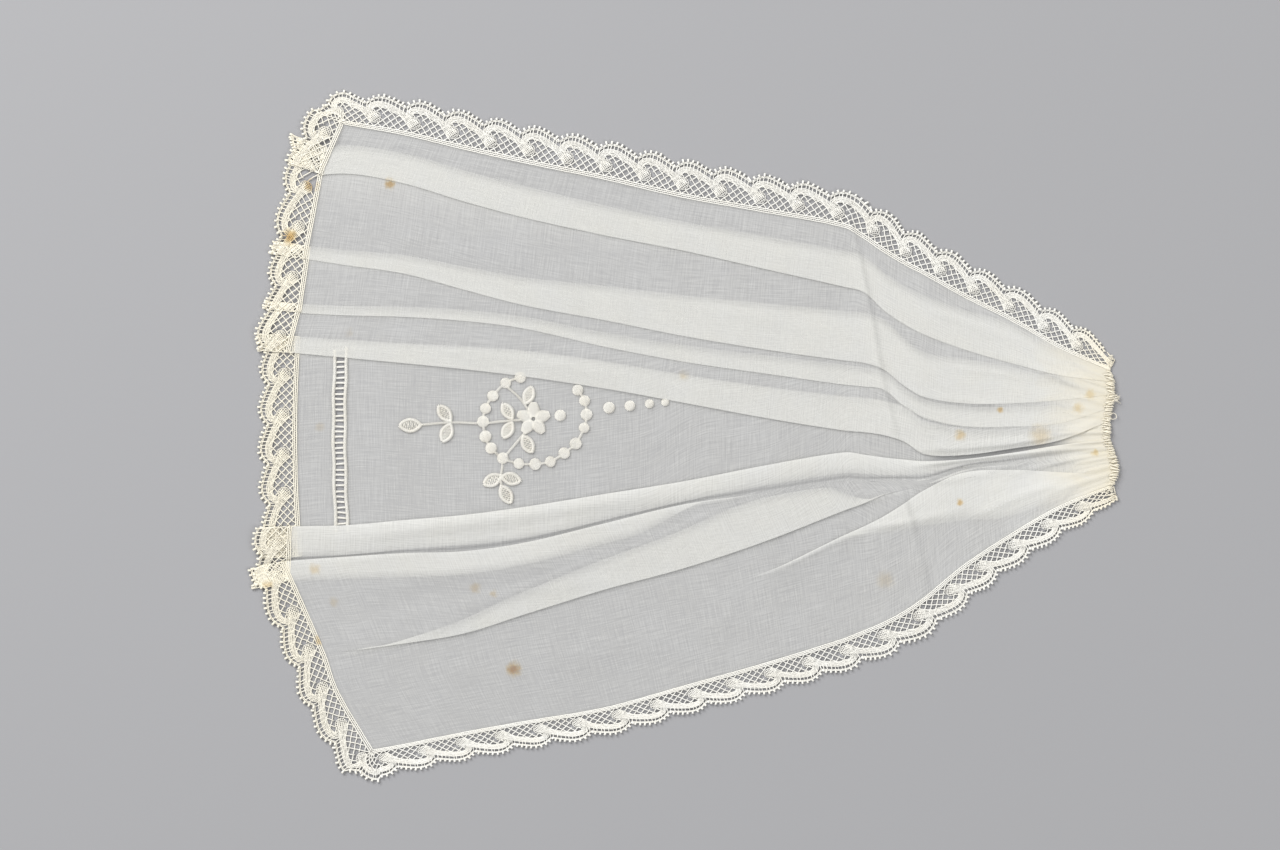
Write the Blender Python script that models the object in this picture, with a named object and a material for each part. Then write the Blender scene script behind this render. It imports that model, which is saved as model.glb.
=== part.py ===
"""A jabot laid flat: a pleated lawn panel gathered at its neck, edged with scalloped lace.

The panel is one sheet of cloth. A section across it is worked out at each station between the
hem (-X) and the gathered neck (+X): every pleat is a mountain turn, a run back under it and a
valley turn, and the cloth ramps up to the next pleat. The lace edging follows the same hem
section, so it is pleated with the panel. Lengths are in millimetres until a mesh is made.
"""

import math

import bmesh
import bpy
from mathutils import Vector

MM = 0.001

WALL = 1.0
LAYER_GAP = 0.3
SEAM_GAP = 0.3
BEND_RADIUS = 0.5 * (WALL + LAYER_GAP)
FULL_TURN_ARC = math.pi * BEND_RADIUS
FLOOR_LEVEL = 0.5 * WALL

# The share of a full turn's arc that a pleat keeps where it has opened out flat
OPEN_ARC_SHARE = 0.12
# A pleat has a run back under it only when it turns further than this
RUN_BACK_FROM = math.radians(165)
LEAST_RUN = 0.2
NECK_GATHER_TURN = math.radians(40)
NECK_GATHER_FROM_X = 92.0
NECK_X = 107.0
RAMP_MAX = 7.0
RAMP_LEAST = 0.4
RAMP_CLEARANCE = 0.9
EDGE_CLEARANCE = 0.9
# In a narrow gap a ramp starts within this share of its room, and takes at least this share
CLEAR_SHARE = 0.25
RAMP_SHARE = 0.5
OPEN_HEIGHT = 1.6
CLOSED_HEIGHT = 2.8
# Between two upper layers the cloth sinks to the floor only where there is this much room
DIP_ROOM = (4.0, 11.0)
DIP_SHARE = 0.42
MITRE_MOST = 1.05
TURN_STEPS = 3
RAMP_STEPS = 3
FLAT_STEPS = 1
FLOOR_STEPS = 4

# The least turn and the least distance that are worked with, so that nothing is divided by zero
LEAST_TURN = 0.001
LEAST_SPAN = 0.001

NECK_ROLL_RISE = 0.25
# The roll is thickened over the last stations, from the first of these shares to the second
NECK_ROLL_FROM = (0.975, 0.985)

LACE_PITCH = 9.9
LACE_SCALLOP = 1.5
# Sections in each scallop, and scallops along each long edge
LACE_STEPS = 6
SIDE_SCALLOPS = 20
# On a bend the lace is eased: it gains this share of its outer edge's length
EASED_SHARE = 0.7
CORNER_STEPS = 6
LACE_NECK_END = 0.985

STITCH_HEIGHT = 0.4
STITCH_LEVEL = WALL + LAYER_GAP

# Moves the outline's middle onto the origin
CENTRE_X = -0.2
CENTRE_Y = -0.7

# Share of the way from hem to neck at which a section is taken
STATIONS = (
    0.0, 0.03, 0.08, 0.15, 0.23, 0.31, 0.39, 0.45, 0.49, 0.53, 0.57, 0.62,
    0.66, 0.70, 0.735, 0.77, 0.81, 0.85, 0.89, 0.925, 0.955, 0.98, 1.0,
)

# Where each edge or pleat line lies across the panel, a row for each place along it
LINE_COLUMNS = ("x", "upper", "a", "b", "c", "d", "e", "f", "g", "h", "lower")
LINES = (
    (-100, 80.0, 63.0, 44.3, 30.2, 20.2, -23.3, -32.0, -55.8, -66.0, -83.5),
    (-85, 77.2, 64.8, 42.0, 29.4, 18.8, -23.0, -30.9, -54.6, -64.5, -80.5),
    (-70, 74.5, 62.3, 39.8, 29.0, 17.4, -21.7, -30.0, -52.6, -62.6, -77.8),
    (-55, 70.9, 57.8, 35.8, 28.0, 15.9, -20.4, -29.5, -50.1, -59.5, -74.8),
    (-40, 67.5, 53.8, 31.9, 26.1, 14.1, -18.4, -27.4, -45.4, -55.5, -72.1),
    (-20, 63.4, 49.4, 28.2, 21.6, 11.1, -15.2, -22.6, -39.2, -48.5, -68.7),
    (0, 58.8, 45.5, 24.2, 17.8, 7.5, -12.0, -17.8, -33.8, -41.0, -63.2),
    (20, 55.2, 41.0, 20.9, 14.9, 3.8, -8.1, -15.0, -27.2, -35.0, -57.6),
    (40, 51.4, 36.5, 18.1, 12.1, 0.6, -4.8, -12.0, -19.4, -27.0, -51.9),
    (50, 45.2, 30.5, 15.5, 9.6, -0.6, -6.1, -12.8, -17.2, -22.8, -47.2),
    (60, 39.8, 24.8, 11.0, 5.0, -5.0, -6.9, -13.2, -17.0, -20.8, -42.0),
    (70, 34.2, 20.9, 8.8, 2.8, -5.3, -6.4, -12.4, -16.0, -19.6, -33.0),
    (82, 28.0, 17.4, 8.2, 2.4, -3.7, -4.9, -10.8, -13.8, -16.8, -25.1),
    (94, 21.2, 14.6, 8.8, 3.4, -1.6, -3.0, -8.0, -11.0, -13.8, -18.2),
    (107, 15.5, 12.8, 9.6, 6.4, 3.2, -1.4, -4.6, -7.6, -10.4, -13.0),
)

# How far each pleat's run back reaches under it, a row for each place along the panel
OVERLAP_COLUMNS = ("x", "a", "b", "c", "d", "e", "f", "g", "h")
OVERLAPS = (
    (-100, 6.8, 3.0, 2.2, 4.0, 3.6, 5.0, 3.0, 3.0),
    (-70, 7.0, 4.6, 2.4, 5.0, 4.0, 6.0, 5.0, 3.0),
    (-40, 7.4, 6.8, 2.2, 6.2, 3.8, 5.4, 4.6, 3.0),
    (0, 6.4, 9.6, 1.8, 5.6, 1.6, 4.6, 4.4, 4.0),
    (40, 9.0, 9.0, 1.6, 6.0, 1.6, 3.0, 3.4, 4.6),
    (60, 8.4, 3.0, 1.6, 4.0, 1.6, 3.0, 3.0, 3.0),
    (80, 6.0, 2.0, 1.6, 2.0, 1.6, 2.0, 2.0, 2.0),
    (107, 2.0, 2.0, 1.6, 2.0, 1.6, 2.0, 2.0, 2.0),
)

# faces is the side of the page that a pleat's edge turns to: -1 towards the lower side.
# A pleat is closed from its second place to its third, and dies away before and after them.
PLEAT_COLUMNS = (
    "name", "faces", "hem_x", "under_x", "neck_x", "lace_angle",
    "starts", "closed_from", "closed_to", "ends",
)
PLEATS = (
    ("a", -1, -90.4, -89.0, 107.5, 160, -120, -110, 70, 92),
    ("b", -1, -94.2, -93.2, 107.5, 172, -120, -110, 44, 68),
    ("c", -1, -95.6, -95.4, 107.0, 174, -120, -110, 58, 80),
    ("d", -1, -98.4, -96.8, 106.5, 176, -120, -110, 84, 104),
    ("e", 1, -97.9, -96.4, 106.5, 183, -120, -110, 84, 104),
    ("f", 1, -99.6, -98.4, 107.5, 192, -120, -110, -6, 38),
    ("g", -1, -89.8, -90.0, 108.4, 203, -92, -62, 26, 50),
    ("h", 1, -87.0, -87.0, 108.4, 208, 12, 30, 52, 66),
)

# The panel's two long edges: where each starts at the hem, ends at the neck, and its lace points
EDGE_COLUMNS = ("name", "hem_x", "neck_x", "lace_angle")
EDGES = (
    ("upper", -85.0, 106.6, 156),
    ("lower", -76.4, 107.4, 216),
)

# The lace's width past the seam, a row for each place along the side it edges
LACE_WIDTH_COLUMNS = ("x", "upper", "lower")
LACE_WIDTHS = (
    (-85, 8.3, 7.6),
    (-70, 9.6, 7.2),
    (0, 9.9, 7.4),
    (60, 9.0, 8.6),
    (85, 8.4, 7.6),
    (107, 5.0, 4.6),
)
HEM_LACE_WIDTH = 10.0
CORNER_LACE_WIDTH = 8.6

# Drawn-thread ladder across the central panel: its two bundled edges
LADDER_EDGES = (("hemstitch_outer", -87.6), ("hemstitch_inner", -84.2))
LADDER_EDGE_WIDTH = 0.7
LADDER_PLEATS = ("d", "e")
LADDER_END_GAP = 0.6
LADDER_STEPS = 8

# Raised satin stitch on the central panel. Its ring goes out of sight under pleat d.
RING_CENTRE = (-37.5, 2.6)
RING_RADII = (12.8, 10.5)
RING_DOTS = 17
RING_FROM = 130
RING_SWEEP = 278
RING_STEPS_PER_DOT = 6
DOT_RADIUS = 1.4
THREAD_HALF = 0.3
FLOWER_CENTRE = (-37.5, 3.4)
FLOWER_PETALS = 5
FLOWER_RADIUS = 4.1
FLOWER_HEART = 2.0
PETAL_STEPS = 8
LEAF_STEPS = 6
LEAF_LENGTH = 5.0
LEAF_HALF = 1.3

# Each sprig runs straight from one place to another and swells into leaves on its way
SPRIG_COLUMNS = ("name", "from_x", "from_y", "to_x", "to_y", "leaves")
SPRIGS = (
    ("sprig_inner", -42.2, 3.0, -48.4, 2.6, 1),
    ("sprig_hemward", -52.5, 2.3, -71.5, 2.6, 2),
    ("sprig_lower", -43.2, -10.6, -47.2, -18.0, 1),
)
DOT_COLUMNS = ("name", "x", "y", "radius")
DOTS = (
    ("dot_in_ring", -30.8, 4.4, 1.4),
    ("dot_row_1", -18.6, 6.3, 1.45),
    ("dot_row_2", -13.4, 6.8, 1.3),
    ("dot_row_3", -8.5, 7.1, 1.1),
)
DOT_SIDES = 16

# Edges that bend less than this are shaded as one smooth surface
SMOOTH_ANGLE = math.radians(40)
CLOTH_ROUGHNESS = 0.9
CLOTH_COLOUR = (0.83, 0.82, 0.78, 1.0)
LACE_COLOUR = (0.88, 0.85, 0.76, 1.0)
THREAD_COLOUR = (0.90, 0.89, 0.84, 1.0)


def smoothstep(low, high, value):
    """0 below low, 1 above high and an S-curve between them."""
    share = min(1.0, max(0.0, (value - low) / (high - low)))
    return share * share * (3 - 2 * share)


def column(rows, names, name):
    index = names.index(name)
    return [row[index] for row in rows]


def smooth_lookup(places, values, place):
    """Reads a table's column at any place, on a cubic through its rows."""
    last = len(places) - 1
    place = min(max(place, places[0]), places[last])
    i = max(k for k in range(last) if places[k] <= place)

    def slope(k):
        low, high = max(k - 1, 0), min(k + 1, last)
        return (values[high] - values[low]) / (places[high] - places[low])

    span = places[i + 1] - places[i]
    u = (place - places[i]) / span
    start = (2 * u**3 - 3 * u**2 + 1) * values[i] + (u**3 - 2 * u**2 + u) * span * slope(i)
    end = (3 * u**2 - 2 * u**3) * values[i + 1] + (u**3 - u**2) * span * slope(i + 1)
    return start + end


def line_y(name, x):
    return smooth_lookup(column(LINES, LINE_COLUMNS, "x"), column(LINES, LINE_COLUMNS, name), x)


def overlap_of(name, x):
    places = column(OVERLAPS, OVERLAP_COLUMNS, "x")
    return smooth_lookup(places, column(OVERLAPS, OVERLAP_COLUMNS, name), x)


def pleat_turn(pleat, x):
    """The angle that the cloth turns through at a pleat's edge."""
    closing = smoothstep(pleat["starts"], pleat["closed_from"], x)
    opening = 1 - smoothstep(pleat["closed_to"], pleat["ends"], x)
    gather = NECK_GATHER_TURN * smoothstep(NECK_GATHER_FROM_X, NECK_X, x)
    return max(math.pi * closing * opening, gather, LEAST_TURN)


def pleat_profile(turn, overlap):
    """Points (across, up) down a pleat from its upper layer's last point, and how far its edge
    lies past that point. The edge is the mountain turn's outermost point."""
    arc = FULL_TURN_ARC * (OPEN_ARC_SHARE + (1 - OPEN_ARC_SHARE) * turn / math.pi)
    radius = arc / turn
    closed = smoothstep(RUN_BACK_FROM, math.pi, turn)
    run = LEAST_RUN + max(0.0, overlap - 2 * radius - LEAST_RUN) * closed
    points = [(0.0, 0.0)]
    for k in range(1, TURN_STEPS + 1):
        angle = turn * k / TURN_STEPS
        points.append((radius * math.sin(angle), -radius * (1 - math.cos(angle))))
    across, up = points[-1]
    across += run * math.cos(turn)
    up -= run * math.sin(turn)
    points.append((across, up))
    for k in range(1, TURN_STEPS + 1):
        angle = turn * (1 - k / TURN_STEPS)
        points.append((
            across + radius * (math.sin(turn) - math.sin(angle)),
            up - radius * (math.cos(angle) - math.cos(turn)),
        ))
    edge = (radius + 0.5 * WALL) * math.sin(min(turn, math.pi / 2))
    return points, edge


def place_pleat(pleat, share):
    """A pleat's points at a station, from the upper layer to the lower one: (x, y, z) each."""
    x = pleat["hem_x"] + (pleat["neck_x"] - pleat["hem_x"]) * share
    profile, edge = pleat_profile(pleat_turn(pleat, x), overlap_of(pleat["name"], x))
    edge_y = line_y(pleat["name"], x)
    under_shift = (pleat["under_x"] - pleat["hem_x"]) * (1 - share)
    drop = profile[-1][1]
    placed = []
    for k, (across, up) in enumerate(profile):
        lower = k / (len(profile) - 1)
        placed.append((
            x + under_shift * lower,
            edge_y + pleat["faces"] * (across - edge),
            FLOOR_LEVEL + up - drop,
        ))
    return placed


def spread(start, end, steps):
    """Points after start up to end. The height follows an S-curve, the rest a line."""
    points = []
    for k in range(1, steps + 1):
        u = k / steps
        points.append((
            start[0] + (end[0] - start[0]) * u,
            start[1] + (end[1] - start[1]) * u,
            start[2] + (end[2] - start[2]) * smoothstep(0, 1, u),
        ))
    return points


def between(start, end, y, z):
    """The point at y, on the line from start to end as seen from above."""
    u = (start[1] - y) / max(start[1] - end[1], LEAST_SPAN)
    return (start[0] + (end[0] - start[0]) * min(1.0, max(0.0, u)), y, z)


def closed_share(points):
    """0 where a pleat has opened out and nothing lies under it, 1 where it is closed."""
    return smoothstep(OPEN_HEIGHT, CLOSED_HEIGHT, max(point[2] for point in points))


def ramp_places(near, far, over, facing):
    """Where a ramp leaves an upper layer, clear of what is under it, and where it meets the
    floor, clear of the pleat that it runs towards."""
    room = max(RAMP_LEAST, abs(far - near))
    toward = 1 if far > near else -1
    clear = min(max(LEAST_RUN, RAMP_CLEARANCE * over["closed"]), CLEAR_SHARE * room)
    edge = max(LEAST_RUN, EDGE_CLEARANCE * facing["closed"])
    width = min(RAMP_MAX, max(RAMP_SHARE * room, room - clear - edge))
    return near + toward * clear, near + toward * (clear + width)


def fall_gap(before, after, high, low):
    """From an upper layer down to the floor, before the next pleat's edge."""
    start, end = before["points"][-1], after["points"][0]
    crest_y, foot_y = ramp_places(high, min(low, high - RAMP_LEAST), before, after)
    crest = between(start, end, crest_y, start[2])
    foot = between(start, end, foot_y, FLOOR_LEVEL)
    return [crest] + spread(crest, foot, RAMP_STEPS) + spread(foot, end, FLAT_STEPS)


def rise_gap(before, after, high, low):
    """From the floor, past the last pleat's edge, up to an upper layer."""
    start, end = before["points"][-1], after["points"][0]
    crest_y, foot_y = ramp_places(low, max(high, low + RAMP_LEAST), after, before)
    crest = between(start, end, crest_y, end[2])
    foot = between(start, end, foot_y, FLOOR_LEVEL)
    return spread(start, foot, FLAT_STEPS) + spread(foot, crest, RAMP_STEPS) + [end]


def dip_gap(before, after, high, low):
    """From one upper layer to the next, sinking between them as far as there is room."""
    start, end = before["points"][-1], after["points"][0]
    middle = 0.5 * (high + low)
    first_y = max(high - RAMP_CLEARANCE, middle + RAMP_LEAST)
    last_y = min(low + RAMP_CLEARANCE, middle - RAMP_LEAST)
    room = first_y - last_y
    sunk = smoothstep(DIP_ROOM[0], DIP_ROOM[1], room)
    dip = FLOOR_LEVEL + (min(start[2], end[2]) - FLOOR_LEVEL) * (1 - sunk)
    width = min(RAMP_MAX, DIP_SHARE * room)
    first = between(start, end, first_y, start[2])
    last = between(start, end, last_y, end[2])
    foot = between(start, end, first_y - width, dip)
    rise = between(start, end, last_y + width, dip)
    down = [first] + spread(first, foot, RAMP_STEPS)
    return down + spread(foot, rise, FLAT_STEPS) + spread(rise, last, RAMP_STEPS) + [end]


def gap_points(before, after):
    """The cloth after one pleat up to the start of the next, whichever way each faces."""
    high = min(point[1] for point in before["points"])
    low = max(point[1] for point in after["points"])
    if before["faces"] > 0 and after["faces"] < 0:
        return dip_gap(before, after, high, low)
    if before["faces"] > 0:
        return fall_gap(before, after, high, low)
    if after["faces"] < 0:
        return rise_gap(before, after, high, low)
    return spread(before["points"][-1], after["points"][0], FLOOR_STEPS)


def hem_section(share):
    """The mid line across the panel at a station, from its upper edge to its lower edge, and
    the angle at which lace would leave each point."""
    parts = []
    for pleat in PLEATS:
        pleat = dict(zip(PLEAT_COLUMNS, pleat))
        placed = place_pleat(pleat, share)
        if pleat["faces"] > 0:
            placed.reverse()
        parts.append({
            "points": placed,
            "faces": pleat["faces"],
            "angle": pleat["lace_angle"],
            "closed": closed_share(placed),
        })
    for place, faces, edge in ((0, -1, EDGES[0]), (len(parts) + 1, 1, EDGES[1])):
        edge = dict(zip(EDGE_COLUMNS, edge))
        x = edge["hem_x"] + (edge["neck_x"] - edge["hem_x"]) * share
        point = (x, line_y(edge["name"], x), FLOOR_LEVEL)
        parts.insert(place, {
            "points": [point],
            "faces": faces,
            "angle": edge["lace_angle"],
            "closed": 1.0,
        })
    points = list(parts[0]["points"])
    angles = [parts[0]["angle"]]
    for before, after in zip(parts, parts[1:]):
        gap = gap_points(before, after)
        turned = after["angle"] - before["angle"]
        angles += [before["angle"] + turned * (k + 1) / len(gap) for k in range(len(gap))]
        points += gap
        points += after["points"][1:]
        angles += [after["angle"]] * (len(after["points"]) - 1)
    return points, angles


def section_normals(points):
    """The cloth's upward normal at each point of a section, in the plane across the panel. It is
    as long as keeps the wall's thickness where the section bends."""
    normals = []
    for k in range(len(points)):
        before = Vector(points[max(k - 1, 0)][1:])
        here = Vector(points[k][1:])
        after = Vector(points[min(k + 1, len(points) - 1)][1:])
        ahead = (after - here).normalized()
        behind = (here - before).normalized()
        tangent = (ahead + behind).normalized()
        bend = tangent.dot(ahead if ahead.length else behind)
        mitre = min(MITRE_MOST, 1 / max(1 / MITRE_MOST, bend))
        normals.append(Vector((0.0, tangent[1], -tangent[0])) * mitre)
    return normals


def to_metres(point):
    return Vector((point[0] - CENTRE_X, point[1] - CENTRE_Y, point[2])) * MM


def wall_mesh(name, tops, bottoms):
    """A closed wall through sections, each a top line and a bottom line of as many points."""
    mesh = bmesh.new()
    rows = []
    for top, bottom in zip(tops, bottoms):
        ring = list(top) + list(reversed(bottom))
        rows.append([mesh.verts.new(to_metres(point)) for point in ring])
    size = len(rows[0])
    for row, following in zip(rows, rows[1:]):
        for k in range(size):
            n = (k + 1) % size
            mesh.faces.new((row[k], row[n], following[n], following[k]))
    for row in (rows[0], rows[-1]):
        for k in range(size // 2 - 1):
            mesh.faces.new((row[k], row[k + 1], row[size - 2 - k], row[size - 1 - k]))
    bmesh.ops.recalc_face_normals(mesh, faces=mesh.faces)
    data = bpy.data.meshes.new(name)
    mesh.to_mesh(data)
    mesh.free()
    return data


def add_object(name, data, collection, material):
    thing = bpy.data.objects.new(name, data)
    data.materials.append(material)
    data.shade_smooth()
    data.set_sharp_from_angle(angle=SMOOTH_ANGLE)
    collection.objects.link(thing)
    return thing


def make_panel(collection, material):
    """The pleated lawn panel, with its rolled and gathered neck edge."""
    tops = []
    bottoms = []
    for share in STATIONS:
        points, _ = hem_section(share)
        normals = section_normals(points)
        roll = NECK_ROLL_RISE * smoothstep(*NECK_ROLL_FROM, share)
        tops.append([
            Vector(point) + normal * (0.5 * WALL + roll)
            for point, normal in zip(points, normals)
        ])
        bottoms.append([
            Vector(point) - normal * 0.5 * WALL
            for point, normal in zip(points, normals)
        ])
    return add_object("panel", wall_mesh("panel", tops, bottoms), collection, material)


def lace_width(side, x):
    places = column(LACE_WIDTHS, LACE_WIDTH_COLUMNS, "x")
    return smooth_lookup(places, column(LACE_WIDTHS, LACE_WIDTH_COLUMNS, side), x)


def side_seam(edge, count):
    """Points evenly spaced along a long edge of the panel from the hem to the neck, each with
    the angle that points away from the panel and the lace's width."""
    name = edge["name"]
    outward = 90 if name == "upper" else -90
    corners = []
    for share in STATIONS:
        x = edge["hem_x"] + (edge["neck_x"] - edge["hem_x"]) * share
        corners.append(Vector((x, line_y(name, x), FLOOR_LEVEL)))
    seam = []
    for k in range(count + 1):
        share = LACE_NECK_END * k / count
        i = max(j for j in range(len(STATIONS) - 1) if STATIONS[j] <= share)
        u = (share - STATIONS[i]) / (STATIONS[i + 1] - STATIONS[i])
        point = corners[i].lerp(corners[i + 1], u)
        before = corners[max(0, i - 1 if u < 0.5 else i)]
        after = corners[min(len(corners) - 1, i + 1 if u < 0.5 else i + 2)]
        slope = math.degrees(math.atan2(after[1] - before[1], after[0] - before[0]))
        seam.append((point, slope + outward, lace_width(name, point[0])))
    return seam


def lace_stations():
    """Along the seam round three sides: where it is, its outward angle, its up normal, its width."""
    upper, lower = (dict(zip(EDGE_COLUMNS, row)) for row in EDGES)
    up = Vector((0.0, 0.0, 1.0))
    side_count = SIDE_SCALLOPS * LACE_STEPS
    stations = []
    upper_seam = side_seam(upper, side_count)
    for point, angle, width in reversed(upper_seam[1:]):
        stations.append((point, angle, up, width))
    points, angles = hem_section(0.0)
    corner, corner_angle, _ = upper_seam[0]
    for k in range(CORNER_STEPS):
        angle = corner_angle + (angles[0] - corner_angle) * k / CORNER_STEPS
        stations.append((corner, angle, up, CORNER_LACE_WIDTH))
    normals = section_normals(points)
    for k, point in enumerate(points):
        here = Vector(point)
        if k:
            before = Vector(points[k - 1])
            pieces = max(1, math.ceil((here - before).length / (LACE_PITCH / LACE_STEPS)))
            for j in range(1, pieces):
                u = j / pieces
                stations.append((
                    before.lerp(here, u),
                    angles[k - 1] + (angles[k] - angles[k - 1]) * u,
                    normals[k - 1].lerp(normals[k], u),
                    HEM_LACE_WIDTH,
                ))
        stations.append((here, angles[k], normals[k], HEM_LACE_WIDTH))
    lower_seam = side_seam(lower, side_count)
    corner, corner_angle, _ = lower_seam[0]
    corner_angle += 360
    for k in range(1, CORNER_STEPS + 1):
        angle = angles[-1] + (corner_angle - angles[-1]) * k / CORNER_STEPS
        stations.append((corner, angle, up, CORNER_LACE_WIDTH))
    for point, angle, width in lower_seam[1:]:
        stations.append((point, angle, up, width))
    return stations


def make_lace(collection, material):
    """One length of lace edging, eased round the two corners and pleated along the hem."""
    tops = []
    bottoms = []
    travelled = 0.0
    previous = None
    for seam, angle, normal, width in lace_stations():
        direction = Vector((math.cos(math.radians(angle)), math.sin(math.radians(angle)), 0.0))
        outer = seam + direction * width
        if previous is not None:
            inner_step = (seam - previous[0]).length
            travelled += max(inner_step, EASED_SHARE * (outer - previous[1]).length)
        previous = (seam, outer)
        scallop = LACE_SCALLOP * abs(math.sin(math.pi * travelled / LACE_PITCH))
        top = []
        bottom = []
        for reach in (SEAM_GAP, 0.5 * width, width - LACE_SCALLOP + scallop):
            middle = seam + direction * reach
            top.append(middle + normal * 0.5 * WALL)
            bottom.append(middle - normal * 0.5 * WALL)
        tops.append(top)
        bottoms.append(bottom)
    return add_object("lace_edging", wall_mesh("lace_edging", tops, bottoms), collection, material)


def stitch_wall(name, lefts, rights, collection, material):
    """A raised band between two lines on the central panel, as high as the stitching stands."""
    tops = []
    bottoms = []
    for left, right in zip(lefts, rights):
        low = STITCH_LEVEL
        bottoms.append([Vector((left[0], left[1], low)), Vector((right[0], right[1], low))])
        high = STITCH_LEVEL + STITCH_HEIGHT
        tops.append([Vector((left[0], left[1], high)), Vector((right[0], right[1], high))])
    return add_object(name, wall_mesh(name, tops, bottoms), collection, material)


def stitch_plate(name, outline, collection, material):
    """A raised patch of stitching with a round or petalled outline."""
    mesh = bmesh.new()
    verts = [mesh.verts.new(to_metres((x, y, STITCH_LEVEL))) for x, y in outline]
    face = mesh.faces.new(verts)
    raised = bmesh.ops.extrude_face_region(mesh, geom=[face])
    lifted = [item for item in raised["geom"] if isinstance(item, bmesh.types.BMVert)]
    bmesh.ops.translate(mesh, verts=lifted, vec=Vector((0.0, 0.0, STITCH_HEIGHT * MM)))
    bmesh.ops.recalc_face_normals(mesh, faces=mesh.faces)
    data = bpy.data.meshes.new(name)
    mesh.to_mesh(data)
    mesh.free()
    return add_object(name, data, collection, material)


def make_ladder(collection, material):
    """The two bundled edges of the drawn-thread ladder, from one pleat's edge to the next."""
    for name, x in LADDER_EDGES:
        start = line_y(LADDER_PLEATS[0], x) - LADDER_END_GAP
        end = line_y(LADDER_PLEATS[1], x) + LADDER_END_GAP
        places = [start + (end - start) * k / LADDER_STEPS for k in range(LADDER_STEPS + 1)]
        lefts = [(x - 0.5 * LADDER_EDGE_WIDTH, y) for y in places]
        rights = [(x + 0.5 * LADDER_EDGE_WIDTH, y) for y in places]
        stitch_wall(name, lefts, rights, collection, material)


def make_ring(collection, material):
    """An oval ring of satin dots on a thread, open where it passes under the pleat."""
    lefts = []
    rights = []
    count = RING_DOTS * RING_STEPS_PER_DOT
    for k in range(count + 1):
        angle = math.radians(RING_FROM + RING_SWEEP * k / count)
        phase = math.sin(math.pi * k / RING_STEPS_PER_DOT) ** 2
        half = THREAD_HALF + (DOT_RADIUS - THREAD_HALF) * math.sqrt(phase)
        across = Vector((math.cos(angle), math.sin(angle)))
        middle = Vector(RING_CENTRE) + Vector((
            RING_RADII[0] * across[0],
            RING_RADII[1] * across[1],
        ))
        lefts.append(middle + across * half)
        rights.append(middle - across * half)
    return stitch_wall("satin_ring", lefts, rights, collection, material)


def make_sprig(sprig, collection, material):
    """A stem that swells into pairs of leaves and ends in one."""
    start = Vector((sprig["from_x"], sprig["from_y"]))
    end = Vector((sprig["to_x"], sprig["to_y"]))
    length = (end - start).length
    along = (end - start) / length
    across = Vector((-along[1], along[0]))
    lefts = []
    rights = []
    spacing = length / sprig["leaves"]
    for leaf in range(sprig["leaves"]):
        leaf_from = (leaf + 1) * spacing - LEAF_LENGTH
        lefts.append(start + along * leaf * spacing + across * THREAD_HALF)
        rights.append(start + along * leaf * spacing - across * THREAD_HALF)
        for k in range(LEAF_STEPS):
            u = k / LEAF_STEPS
            half = THREAD_HALF + (LEAF_HALF - THREAD_HALF) * math.sin(math.pi * u)
            place = start + along * (leaf_from + LEAF_LENGTH * u)
            lefts.append(place + across * half)
            rights.append(place - across * half)
    lefts.append(end + across * THREAD_HALF)
    rights.append(end - across * THREAD_HALF)
    return stitch_wall(sprig["name"], lefts, rights, collection, material)


def make_whitework(collection, material):
    """The raised embroidery on the central panel."""
    make_ring(collection, material)
    outline = []
    steps = PETAL_STEPS * FLOWER_PETALS
    for k in range(steps):
        angle = 2 * math.pi * k / steps
        petal = abs(math.cos(0.5 * FLOWER_PETALS * angle))
        radius = FLOWER_HEART + (FLOWER_RADIUS - FLOWER_HEART) * petal
        outline.append((
            FLOWER_CENTRE[0] + radius * math.cos(angle),
            FLOWER_CENTRE[1] + radius * math.sin(angle),
        ))
    stitch_plate("satin_flower", outline, collection, material)
    for row in SPRIGS:
        make_sprig(dict(zip(SPRIG_COLUMNS, row)), collection, material)
    for row in DOTS:
        dot = dict(zip(DOT_COLUMNS, row))
        circle = [
            (
                dot["x"] + dot["radius"] * math.cos(2 * math.pi * k / DOT_SIDES),
                dot["y"] + dot["radius"] * math.sin(2 * math.pi * k / DOT_SIDES),
            )
            for k in range(DOT_SIDES)
        ]
        stitch_plate(dot["name"], circle, collection, material)


def cloth_material(name, colour):
    material = bpy.data.materials.new(name)
    material.use_nodes = True
    shader = material.node_tree.nodes["Principled BSDF"]
    shader.inputs["Base Color"].default_value = colour
    shader.inputs["Roughness"].default_value = CLOTH_ROUGHNESS
    shader.inputs["Metallic"].default_value = 0.0
    return material


def main():
    for thing in list(bpy.data.objects):
        bpy.data.objects.remove(thing, do_unlink=True)
    collection = bpy.data.collections.new("jabot")
    bpy.context.scene.collection.children.link(collection)
    lawn = cloth_material("lawn", CLOTH_COLOUR)
    lace = cloth_material("lace", LACE_COLOUR)
    thread = cloth_material("thread", THREAD_COLOUR)
    make_panel(collection, lawn)
    make_lace(collection, lace)
    make_ladder(collection, thread)
    make_whitework(collection, thread)


main()
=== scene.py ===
"""The looks of a jabot laid flat: sheer lawn in soft pleats, scalloped lace, a drawn-thread ladder
and satin stitch, lit by soft studio light over a pale floor.

The lawn is one thin sheet. Like its solid it is worked out from sections across the panel, here
with closer folds and many more points. Lengths are in millimetres until a mesh is made.
"""

from math import ceil, cos, hypot, pi, prod, radians, sin, sqrt
from random import Random

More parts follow.
